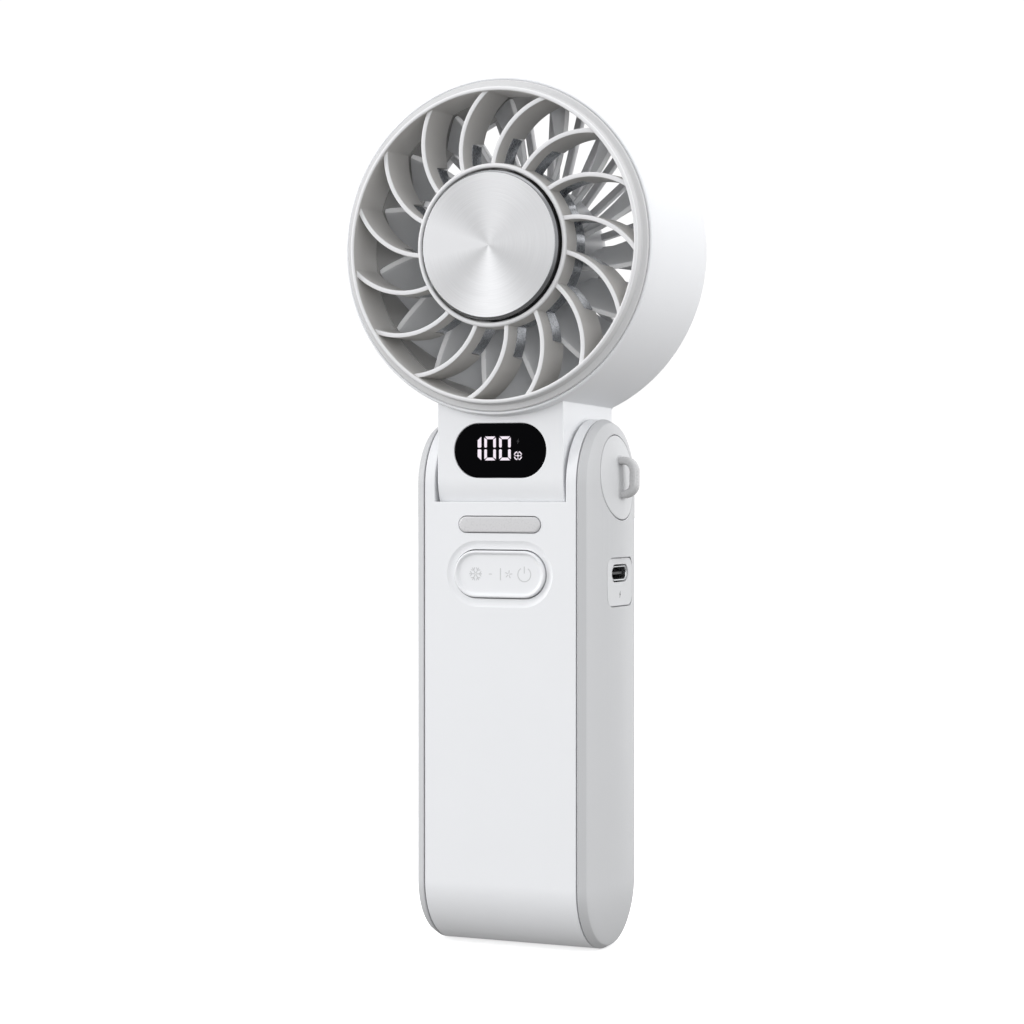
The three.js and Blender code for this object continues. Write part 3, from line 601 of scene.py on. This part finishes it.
def lanyard_loop():
    """A D-shaped eye: a squarish section carried along a path with two round corners."""
    reach, half, corner, foot = 27.25, 3.9, 2.5, 22.35
    wide, deep, squareness = 0.93, 1.58, 0.62
    corner_steps, section_steps = 12, 28
    path = [(foot, -half), (reach - corner, -half)]
    for start, vertical in ((-90, -1), (0, 1)):
        for i in range(corner_steps + 1):
            a = math.radians(start + 90 * i / corner_steps)
            path.append((reach - corner + corner * math.cos(a),
                         vertical * (half - corner) + corner * math.sin(a)))
    path += [(foot, half)]
    rings = []
    for i, (x, z) in enumerate(path):
        before, after = path[max(0, i - 1)], path[min(len(path) - 1, i + 1)]
        along = Vector((after[0] - before[0], 0, after[1] - before[1])).normalized()
        outwards = Vector((along.z, 0, -along.x))
        ring = []
        for k in range(section_steps):
            a = math.tau * k / section_steps
            c, s = math.cos(a), math.sin(a)
            u = wide * math.copysign(abs(c) ** squareness, c)
            w = deep * math.copysign(abs(s) ** squareness, s)
            ring.append(Vector((x, 0, z + PIVOT)) + outwards * u + Vector((0, w, 0)))
        rings.append(ring)
    loop = mesh_piece("lanyard_eye", *skin(rings), HANDLE)
    return fit(loop, EYE_PAINTED_SHADE, "handle", "grey_trim", "lanyard_loop")


def rocker_button():
    """A long button with a raised rim round its face, and a flange behind the shell."""
    face = -15.3
    profile = [(0.02, -12.0), (6.3, -12.0), (6.42, -12.1), (6.42, -12.4), (6.3, -12.5), (5.4, -12.5),
               (5.4, -15.45), (5.36, -15.62), (5.25, -15.74), (5.08, -15.8), (4.9, -15.78), (4.74, -15.68),
               (4.6, -15.5), (4.48, -15.38), (4.3, face - 0.02), (4.0, face), (2.5, face), (0.02, face)]
    button = stack("rocker_face", lambda r: wide_stadium(r, ROCKER_HALF, 40), profile, on_front, HANDLE,
                   (0, ROCKER_Z))
    return fit(button, WHITE, "rocker", "button_white", "rocker_button")


def light_bar():
    profile = [(0.02, -13.4), (LENS_RADIUS, -13.4), (LENS_RADIUS, -15.3), (1.79, -15.47), (1.7, -15.6),
               (1.56, -15.68), (1.38, -15.71), (0.02, -15.72)]
    bar = stack("light_bar", lambda r: wide_stadium(r, LENS_HALF, 24), profile, on_front, HANDLE, (0, LIGHT_Z))
    return fit(bar, LENS, "handle", "indicator", "indicator_lens")


def pill(tall, wide):
    """Outline with fully round ends, as a charging port has."""
    return rounded(wide, tall, tall / 2 - 0.001, 12)


def port():
    """The inset panel, the socket's metal mouth and its tongue. Profiles list (inset, x) pairs."""
    panel = stack("port_inset", lambda inset: rounded(14.8 - inset, 11.1 - inset, 2.4 - inset / 2, 12),
                  [(0, 20.6), (0, 23.4), (0.06, 23.52), (0.2, 23.59), (0.4, 23.6)], on_side, HANDLE,
                  (0, PANEL_Z))
    carve(panel, prism("tool", pill(4.1, 9.9), 15, THROUGH, on_side, HANDLE, (0, MOUTH_Z)))
    fit(panel, TRIM, "handle", "grey_trim", "port_panel", bevel=0.1)
    socket = stack("port_mouth", lambda inset: pill(3.4 - inset, 9.2 - inset),
                   [(0, 14.2), (0, 23.25), (0.1, 23.38), (0.25, 23.4), (0.5, 23.38), (0.64, 23.3),
                    (0.7, 23.15), (0.7, 15), (2.6, 15)], on_side, HANDLE, (0, MOUTH_Z))
    fit(socket, STEEL, "handle", "steel", "port_socket")
    tongue = stack("port_contact_tongue", lambda inset: rounded(6.7 - inset, 0.7 - inset, 0.28 - inset / 2, 5),
                   [(0, 15.3), (0, 22.5), (0.1, 22.65), (0.3, 22.7)], on_side, HANDLE, (0, MOUTH_Z))
    fit(tongue, BLACK, "handle", "black_plastic", "port_tongue")


# ---- Marks: plain polygons of a thickness, on the front or on the right side ----

END_STEPS = 8          # sides of a stroke's round end


def strip(x0, z0, x1, z1, width):
    """A straight stroke with round ends, as an outline."""
    heading = math.atan2(z1 - z0, x1 - x0)
    points = []
    for (x, z), turn in (((x1, z1), -90), ((x0, z0), 90)):
        for i in range(END_STEPS + 1):
            a = heading + math.radians(turn + 180 * i / END_STEPS)
            points.append((x + math.cos(a) * width / 2, z + math.sin(a) * width / 2))
    return points


def curved_strip(radius, start, end, width, steps=32):
    """A stroke along an arc, with angles in degrees clockwise from the top."""
    outer, inner = radius + width / 2, radius - width / 2
    angles = [math.radians(start + (end - start) * i / steps) for i in range(steps + 1)]
    return ([(outer * math.sin(a), outer * math.cos(a)) for a in angles]
            + [(inner * math.sin(a), inner * math.cos(a)) for a in reversed(angles)])


def marks(name, outlines, low, high, place, origin, centre, material, body, slot):
    """One piece from a mark's outlines, each a thin raised shape from low to high."""
    shapes = [prism(name, outline, low, high, place, origin, centre) for outline in outlines]
    piece = fuse(*shapes)
    piece.name = name
    return fit(piece, material, body, slot, angle=30)


BOLT = [(0.35, 1.15), (-0.55, -0.12), (-0.08, -0.12), (-0.3, -1.15), (0.58, 0.18), (0.1, 0.18)]


def scaled(outline, size):
    return [(x * size, z * size) for x, z in outline]


def snowflake(size, width):
    """Six arms, each with two short branches."""
    outlines = []
    for k in range(6):
        arm = math.radians(60 - 60 * k)
        x, z = math.cos(arm) * size, math.sin(arm) * size
        outlines.append(strip(x * 0.16, z * 0.16, x, z, width))
        for side in (1, -1):
            a = arm + side * math.radians(50)
            c, s = math.cos(a), math.sin(a)
            start, end = width * 0.95, size * 0.42
            outlines.append(strip(x * 0.6 + c * start, z * 0.6 + s * start,
                                  x * 0.6 + c * end, z * 0.6 + s * end, width))
    return outlines


def sun(inner, outer, width):
    """Five short rays about a point."""
    rays = []
    for k in range(5):
        s, c = math.sin(math.radians(10 + 72 * k)), math.cos(math.radians(10 + 72 * k))
        rays.append(strip(inner * s, inner * c, outer * s, outer * c, width))
    return rays


def rocker_marks():
    """Generic marks on the button: cooling, less, a divider, more and power."""
    low, high = -15.29, -15.325
    for name, outlines, x in (
        ("mark_snowflake", snowflake(1.55, 0.22), -6.08),
        ("mark_minus", [strip(-0.3, 0, 0.3, 0, 0.22)], -2.33),
        ("mark_divider", [strip(0, -1.3, 0, 1.3, 0.26)], 0.25),
        ("mark_plus", sun(0.3, 0.85, 0.24), 2.3),
        ("mark_power", [curved_strip(1.62, 32, 328, 0.25), strip(0, 0.35, 0, 1.75, 0.25)], 6.25),
    ):
        marks(name, outlines, low, high, on_front, HANDLE, (x, ROCKER_Z), MARK, "rocker", "button_white")


def port_mark():
    marks("mark_bolt", [scaled(BOLT, 0.75)], 23.59, 23.63, on_side, HANDLE, (0.0, PANEL_Z - 2.9), DARK_MARK,
          "handle", "grey_trim")


# ---- Head ----

WINDOW_Z = middle_mm("display_window").z - SPIN.z
WINDOW_HALF = 5.35                  # half the straight sides of the display window
NECK_HALF = 15.9                    # half the neck's width
NECK_FRONT, NECK_BACK = -15.2, 13.8
COVER_Z = -42.6                     # middle of the neck's rear cover
DRUM_BORE = 37.9
SEAT = 37.55                        # outer radius of the rings that sit in the drum


def head_housing():
    """The drum and the neck, which is rounded about the hinge."""
    drum = turned("head_shell", [(0.5, -17.4), (37.95, -17.4), (38.05, -17.62), (38.22, -17.74), (38.42, -17.7),
                                 (38.6, -17.48), (38.74, -17.1), (38.84, -16.5), (38.95, -15.2), (39.05, -13.4),
                                 (39.45, 0.0), (39.88, 13.5), (39.84, 13.76), (39.7, 13.93), (39.45, 14.0),
                                 (0.5, 14.0)], HEAD)
    pivot = PIVOT - SPIN.z
    back_angle = math.degrees(math.asin(-NECK_BACK / NECK_FRONT))
    outline = ([(NECK_FRONT, -32)] + arc((0, pivot), -NECK_FRONT, 180, 270 + back_angle, 72)
               + [(NECK_BACK, -32)])
    neck = prism("tool", outline, -NECK_HALF, NECK_HALF, on_side, HEAD)
    carve(drum, neck, how="UNION")
    carve(drum,
          turned("tool", [(DRUM_BORE, -THROUGH), (DRUM_BORE, THROUGH)], HEAD),
          hinge_bore(HEAD, pivot),
          prism("tool", wide_stadium(6.32, WINDOW_HALF), -17, -13.9, on_front, HEAD, (0, WINDOW_Z)),
          prism("tool", rounded(21.7, 6.1, 0.8, 6), 11.5, 20, on_front, HEAD, (0, COVER_Z)))
    return fit(drum, WHITE, "head", "white_shell", "head_housing", bevel=0.2)


def rear_cover():
    cover = stack("neck_cover", lambda inset: rounded(21.4 - inset, 5.8 - inset, 0.7, 8),
                  [(0, 12), (0, 13.4), (0.1, 13.55), (0.3, 13.6)], on_front, HEAD, (0, COVER_Z))
    return fit(cover, WHITE, "head", "white_shell", "neck_rear_cover")


def upside_down(outlines):
    return [[(x, -z) for x, z in outline] for outline in outlines]


def digit_bars(half):
    """The bars of a seven-segment one and zero that are twice half tall, with slanted ends."""
    wide, bar, gap, waist = 2.94, 0.76, 0.17, 0.36
    top = [(-wide / 2 + gap, half), (wide / 2 - gap, half), (wide / 2 - bar, half - bar * 0.82),
           (-wide / 2 + bar, half - bar * 0.82)]
    zero = [top]
    for side in (-1, 1):
        outer, inner = side * wide / 2, side * (wide / 2 - bar * 0.88)
        zero.append([(outer, half - gap * 1.6), (outer, waist), (side * (wide / 2 - bar * 0.3), 0.2),
                     (side * (wide / 2 - bar * 0.6), 0.2), (inner, waist), (inner, half - bar * 0.95)])
    one = [[(0.48, half - 0.05), (0.48, waist), (0.3, 0.2), (-0.3, 0.2), (-0.44, waist), (-0.44, half - 0.85)]]
    return one + upside_down(one), zero + upside_down(zero)


def fan_mark():
    """A dot with four spokes, inside a ring with four gaps."""
    outlines = [strip(0, 0, 0.01, 0, 0.5)]
    for k in range(4):
        s, c = math.sin(math.radians(90 * k)), math.cos(math.radians(90 * k))
        outlines.append(strip(0.42 * s, 0.42 * c, 0.8 * s, 0.8 * c, 0.17))
        outlines.append(curved_strip(0.92, 90 * k + 15, 90 * k + 75, 0.26, 10))
    return outlines


def display():
    """The black window, its lit digits and its two small marks."""
    window = stack("display_glass", lambda r: wide_stadium(r, WINDOW_HALF, 40),
                   [(0.02, -14.2), (6.2, -14.2), (6.2, -14.98), (6.16, -15.06), (6.06, -15.1), (0.02, -15.1)],
                   on_front, HEAD, (0, WINDOW_Z))
    fit(window, GLASS, "head", "display_black", "display_window")
    low, high = -15.09, -15.13
    one, zero = digit_bars(2.75)
    digits_z, marks_x = WINDOW_Z + 0.5, 4.57
    for name, outlines, x, z, material in (
        ("digit_hundreds", one, -5.2, digits_z, GLOW),
        ("digit_tens", zero, -2.48, digits_z, GLOW),
        ("digit_units", zero, 1.28, digits_z, GLOW),
        ("mark_fan", fan_mark(), marks_x, digits_z - 1.7, GLOW),
        ("mark_charge", [scaled(BOLT, 0.62)], marks_x, digits_z + 1.6, FAINT),
    ):
        marks(name, outlines, low, high, on_front, HEAD, (x, z), material, "head", "display_black")


HUB = 18.75                         # radii between which the ribs show
RIM = 35.2
RIBS = 15                           # and as many blades on the impeller
NOTCH_RADIUS = 25.5                 # out to here a rib is notched at the back for a fin
NOTCH = -14.7
SWEEP_SAMPLES = 400
OVERRUN = 0.08                      # how far a rib's arc goes on past each end, as a share of it


def face_point(radius, degrees):
    """A point of the front view at an angle clockwise from the top, as (x, z)."""
    a = math.radians(degrees)
    return Vector((radius * math.sin(a), radius * math.cos(a)))


def circle_through(a, b, c):
    """Centre of the circle through three points."""
    twice = 2 * (a.x * (b.y - c.y) + b.x * (c.y - a.y) + c.x * (a.y - b.y))
    aa, bb, cc = a.length_squared, b.length_squared, c.length_squared
    x = (aa * (b.y - c.y) + bb * (c.y - a.y) + cc * (a.y - b.y)) / twice
    y = (aa * (c.x - b.x) + bb * (a.x - c.x) + cc * (b.x - a.x)) / twice
    return Vector((x, y))


def rib(number, from_radius, to_radius, section, steps):
    """Rings of a swept rib: a cross-section carried along an arc of the front view, between two radii.
    section(radius) lists the (across, depth) points of the cross-section."""
    hub, waist, tip = face_point(HUB, -23.1), face_point(27.9, -14.6), face_point(35.4, -2.4)
    centre = circle_through(hub, waist, tip)
    bend = (hub - centre).length
    start = math.atan2(hub.y - centre.y, hub.x - centre.x)
    end = math.atan2(tip.y - centre.y, tip.x - centre.x)
    end -= math.tau * (end > start)
    sweep = [start + (end - start) * (i / SWEEP_SAMPLES * (1 + 2 * OVERRUN) - OVERRUN)
             for i in range(SWEEP_SAMPLES + 1)]
    places = [(a, centre + Vector((math.cos(a), math.sin(a))) * bend) for a in sweep]
    places = [(a, p) for a, p in places if from_radius <= p.length <= to_radius]
    picked = [places[round(i * (len(places) - 1) / steps)] for i in range(steps + 1)]
    turn = Matrix.Rotation(-math.tau * number / RIBS, 2)
    rings = []
    for a, p in picked:
        across = Vector((math.cos(a), math.sin(a)))
        ring = []
        for offset, depth in section(p.length):
            flat = turn @ (p + across * offset)
            ring.append((flat.x, depth, flat.y))
        rings.append(ring)
    return rings


def front_grille():
    """The ribs, the outer ring with its groove and the hub ring. Their sides and the groove have painted shade.
    """
    front, rear = -19.5, -9.0
    nose, foot = 0.52, 0.72         # half a rib's thickness at the front and the rear
    edge, foot_edge = 0.14, 0.12    # and how far its edges are rounded off there

    def section(radius):
        back = NOTCH if radius < NOTCH_RADIUS else rear
        base = nose + (foot - nose) * (back - front) / (rear - front)
        rise = [(base - foot_edge, back), (base, back - foot_edge), (nose, front + edge),
                (nose - 0.3 * edge, front + 0.3 * edge), (nose - edge, front)]
        return rise + [(-x, y) for x, y in reversed(rise)]

    grille = fuse(*[mesh_piece("rib", *skin(rib(n, HUB - 0.6, RIM + 0.5, section, 40)), HEAD)
                    for n in range(RIBS)])
    rim = turned("tool", [(RIM, rear), (RIM, -20.05), (35.26, -20.24), (35.4, -20.36), (35.62, -20.4),
                          (35.9, -20.35), (36.08, -20.2), (36.15, -19.95), (36.4, -18.4), (36.52, -18.25),
                          (36.75, -18.2), (37.6, -18.2), (37.78, -18.08), (37.86, -17.85), (37.86, -15),
                          (SEAT, -14.8), (SEAT, rear)], HEAD, closed=True)
    hub = turned("tool", [(17.6, -18), (17.6, -19.6), (17.68, -19.86), (17.86, -20.04), (18.1, -20.1),
                          (18.4, -20.06), (18.64, -19.88), (HUB, -19.6), (19.0, NOTCH), (15, NOTCH), (15, -18)],
                 HEAD, closed=True)
    carve(grille, fuse(rim, hub), how="UNION")
    grille.name = "front_ribs"
    fit(grille, GRILLE, "head", "grille", "front_grille", angle=40)
    # The grille's sides and its groove get painted shade: darker copies of its colour.
    for material in (WALL_PAINTED_SHADE, RING, GROOVE_PAINTED_SHADE):
        grille.data.materials.append(material)
    wall, ring, groove = 1, 2, 3
    ring_start, groove_start = RIM + 0.03, 36.2
    for face in grille.data.polygons:
        radius = math.hypot(face.center.x, face.center.z - HEAD.z * MM) / MM
        # Past groove_start the groove's faces take painted shade; the ring keeps the grille's colour.
        if radius > ring_start:
            face.material_index = groove if radius > groove_start else ring
        elif face.normal.y > -0.35:      # it doesn't face the front, so it takes the painted shade
            face.material_index = wall


def cooling_plate():
    """A flat brushed face with a polished bevel round it, on a narrower foot. The bevel is darkened with a
    painted dark reflection.
    """
    face_y, radius, neck = -21.4, 17.16, 14.6
    plate = turned("cold_plate", [(0.02, face_y), (4, face_y), (9, face_y), (14, face_y), (16.5, face_y),
                                  (16.6, -21.36), (17.02, -20.96), (17.12, -20.84), (radius, -20.65),
                                  (radius, -19.2), (neck, -19.2), (neck, -17.4), (0.02, -17.4)],
                   HEAD, steps=192)
    fit(plate, BRUSHED_PAINTED_SHEEN, "head", "brushed_plate", "cooling_plate", angle=25)
    plate.data.materials.append(POLISHED_PAINTED_DARK_REFLECTION)
    for face in plate.data.polygons:
        if face.normal.y > -0.98:        # it isn't part of the flat front, so it takes the painted dark reflection
            face.material_index = 1


def heat_sink():
    """A disc with a pocket for the cooling module, and a fin in the notch of every rib."""
    front, rear = -14.4, -9.4
    half, edge = 0.5, 0.1           # half a fin's thickness, and how far its edges are cut off

    def section(radius):
        side = [(half - edge, rear), (half, rear - edge), (half, front + edge), (half - edge, front)]
        return side + [(-x, y) for x, y in reversed(side)]

    sink = fuse(*[mesh_piece("fin", *skin(rib(n, HUB - 0.55, NOTCH_RADIUS - 0.3, section, 16)), HEAD)
                  for n in range(RIBS)])
    core = turned("tool", [(0.02, front), (18.7, front), (18.9, front + 0.2), (18.9, rear - 0.2),
                           (18.7, rear), (0.02, rear)], HEAD)
    # The pocket is cut before the fins are joined. Cut afterwards, it left an empty mesh.
    carve(core, block("tool", (-10.3, -16, -10.3), (10.3, -13.4, 10.3), HEAD))
    carve(sink, core, how="UNION")
    sink.name = "cooling_fins"
    return fit(sink, DARK_METAL, "head", "dark_aluminium", "heat_sink", angle=30)


def air_duct():
    """A plain ring round the impeller, between the two grilles. Its darker colour is painted shade."""
    duct = turned("duct_ring", [(RIM, -8.5), (35.85, -8.7), (SEAT, -8.7), (SEAT, 10.4), (35.85, 10.4),
                                (RIM, 10.2)], HEAD, closed=True)
    return fit(duct, DUCT_PAINTED_SHADE, "head", "grille", "air_duct", angle=30)


BLADE_FRONT, BLADE_REAR = -8.0, 5.5
BLADE_ROOT, BLADE_TIP = 15.4, 34.9
BLADE_WRAP = 17                     # degrees that a blade turns from front to rear
BLADE_LEAN = 0.63                   # and that it leans, for each millimetre of radius
BLADE_START = -0.6                  # degrees at which the first blade's tip begins
BLADE_THICK, TIP_THICK = 1.35, 1.1
EDGE_REACH, EDGE_TAPER = 0.25, 0.2  # how far in a blade's edges are rounded, and how much


def blade(number):
    """Rings of one blade from root to tip, each a thin section with rounded edges."""
    stations, along = 18, 16
    span = BLADE_REAR - BLADE_FRONT
    rings = []
    for i in range(stations + 1):
        radius = BLADE_ROOT + (BLADE_TIP - BLADE_ROOT) * i / stations
        thick = BLADE_THICK if i < stations else TIP_THICK
        walls = ([], [])
        for k in range(along + 1):
            share = (1 - math.cos(math.pi * k / along)) / 2
            depth = BLADE_FRONT + span * share
            from_edge = min(share, 1 - share) * span
            half = thick / 2 - EDGE_TAPER * max(0.0, 1 - from_edge / EDGE_REACH)
            angle = math.radians(BLADE_START + BLADE_LEAN * (BLADE_TIP - radius) - BLADE_WRAP * share
                                 + 360 * number / RIBS)
            for wall, sign in zip(walls, (1, -1)):
                a = angle + sign * half / radius
                wall.append((radius * math.sin(a), depth, radius * math.cos(a)))
        rings.append(walls[0] + walls[1][::-1])
    return rings


def impeller():
    """The blades on a cup that covers the motor. Their front edges carry a painted highlight."""
    wheel = fuse(*[mesh_piece("blade", *skin(blade(n)), HEAD) for n in range(RIBS)])
    hub = turned("tool", [(0.02, -8.2), (15.5, -8.2), (15.85, -8.1), (16, -7.8), (16, 7.8), (15.8, 8),
                          (14.2, 8), (14.2, -6.6), (1.55, -6.6), (1.55, -7.2), (0.02, -7.2)], HEAD, steps=120)
    carve(wheel, hub, how="UNION")
    wheel.name = "fan_wheel"
    fit(wheel, BLADES, "impeller", "impeller_plastic", "impeller", angle=40)
    wheel.data.materials.append(BLADE_EDGES_PAINTED_HIGHLIGHT)
    edge_depth = (BLADE_FRONT + 0.5 + MID_Y) * MM
    # Faces at the front that point forward take the painted highlight.
    for face in wheel.data.polygons:
        if face.normal.y < -0.8 and face.center.y < edge_depth:
            face.material_index = 1


REAR_BARS = 30
FIRST_BAR = 2.7                     # degrees from the top
BOSS = 14.5                         # radius of the disc in the middle
SCREW_CIRCLE = 8


def rear_grille():
    """Thirty radial bars between a ring and a disc, with three screw holes in the disc."""
    front, rear = 10.8, 13.9
    grille = turned("rear_bars", [(RIM, front), (SEAT - 0.1, front), (SEAT, front + 0.1), (SEAT, rear - 0.2),
                                  (SEAT - 0.2, rear), (35.4, rear), (RIM, rear - 0.2)], HEAD, closed=True)
    disc = turned("tool", [(0.02, front), (BOSS, front), (BOSS, rear - 0.4), (14.38, rear - 0.12),
                           (14.1, rear), (0.02, rear)], HEAD)
    outline = rounded(1.6, 2.5, 0.35, 4)
    bars = []
    for n in range(REAR_BARS):
        turn = Matrix.Rotation(-math.radians(FIRST_BAR + 360 * n / REAR_BARS), 2)
        rings = []
        for radius in (14.0, 20, 28, 35.9):
            flat = [(turn @ Vector((u, radius)), v) for u, v in outline]
            rings.append([(point.x, (front + rear) / 2 + v, point.y) for point, v in flat])
        bars.append(mesh_piece("bar", *skin(rings), HEAD))
    carve(grille, fuse(disc, *bars), how="UNION")
    holes = []
    for degrees in (0, 120, 240):
        place = face_point(SCREW_CIRCLE, degrees)
        holes.append(turned("tool", [(0.95, 10), (0.95, 13)], HEAD, centre=place, steps=24))
        holes.append(turned("tool", [(2, 12.1), (2, 15)], HEAD, centre=place, steps=32))
    carve(grille, *holes)
    return fit(grille, GRILLE, "head", "grille", "rear_grille", angle=40)


handle_shell()
side_plate(1, "right_face")
side_plate(-1, "left_face")
hinge_cap(1, "right_hinge_cap")
hinge_cap(-1, "left_hinge_cap")
lanyard_loop()
rocker_button()
rocker_marks()
light_bar()
port()
port_mark()
head_housing()
rear_cover()
display()
front_grille()
cooling_plate()
heat_sink()
air_duct()
impeller()
rear_grille()


# ---- Camera, floor and light ----

CAMERA_TURN = 24.7                  # degrees round to the object's right, level with its neck
camera_data = bpy.data.cameras.new("camera")
camera_data.lens = 90.68
camera_data.shift_y = -0.0328
camera_data.clip_end = 20
camera = bpy.data.objects.new("camera", camera_data)
camera.location = (0.2501, MID_Y * MM - 0.5522, 0.1088)
camera.rotation_euler = (math.radians(90), 0, math.radians(CAMERA_TURN))
scene.collection.objects.link(camera)
scene.camera = camera

# The floor glows a little and throws no light, so that it stays pale and the object's own tones hold.
FLOOR_REACH = 6.0
floor = bpy.data.objects.new("floor", bpy.data.meshes.new("floor"))
corners = [(x * FLOOR_REACH, y * FLOOR_REACH, 0) for x, y in ((-1, -1), (1, -1), (1, 1), (-1, 1))]
floor.data.from_pydata(corners, [], [(0, 1, 2, 3)])
PALE = surface("pale_floor", (0.93, 0.93, 0.935), spread=0.01, rough=(0.6, 0.7), grain=300.0, depth=0.01,
               Emission_Color=(1, 1, 1, 1), Emission_Strength=0.5)
floor.data.materials.append(PALE)
floor.visible_diffuse = False
floor.visible_glossy = False
scene.collection.objects.link(floor)


OBJECT_MIDDLE = (cad_low + cad_high) / 2


def softbox(name, place, size, watts):
    """A rectangular light that points at the middle of the object."""
    data = bpy.data.lights.new(name, "AREA")
    data.shape = "RECTANGLE"
    data.size, data.size_y = size
    data.energy = watts
    light = bpy.data.objects.new(name, data)
    light.location = place
    light.rotation_euler = (OBJECT_MIDDLE - Vector(place)).to_track_quat("-Z", "Y").to_euler()
    scene.collection.objects.link(light)


softbox("overhead", (0, 0.05, 1.4), (1.6, 1.4), 6)
softbox("front", (0.6, -1.4, 0.3), (0.8, 1.2), 5.4)
softbox("rear", (0.35, 1.5, 0.4), (0.8, 1.2), 2.5)
softbox("left", (-1.25, -0.6, 0.35), (0.7, 1.0), 11)
softbox("right", (1.3, 0.2, 0.4), (0.7, 1.0), 6.5)

# The object is lit by a room that is darker below. The camera sees a white backdrop instead.
FLOOR_GREY, CEILING_GREY = (0.31, 0.307, 0.303), (0.87, 0.875, 0.885)
world = bpy.data.worlds.new("studio")
world.use_nodes = True
tree = world.node_tree
ambient = tree.nodes["Background"]
direction = tree.nodes.new("ShaderNodeSeparateXYZ")
tree.links.new(tree.nodes.new("ShaderNodeTexCoord").outputs["Generated"], direction.inputs[0])
upwards = mapped(tree, direction.outputs["Z"], 0, 1, -1, 1)
tree.links.new(blended(tree, upwards, FLOOR_GREY, CEILING_GREY, 0.25, 0.52), ambient.inputs["Color"])
backdrop = tree.nodes.new("ShaderNodeBackground")
backdrop.inputs["Color"].default_value = (1, 1, 1, 1)
backdrop.inputs["Strength"].default_value = 1.05
choice = tree.nodes.new("ShaderNodeMixShader")
tree.links.new(tree.nodes.new("ShaderNodeLightPath").outputs["Is Camera Ray"], choice.inputs[0])
tree.links.new(ambient.outputs[0], choice.inputs[1])
tree.links.new(backdrop.outputs[0], choice.inputs[2])
tree.links.new(choice.outputs[0], tree.nodes["World Output"].inputs["Surface"])
scene.world = world
scene.view_settings.view_transform = "Standard"
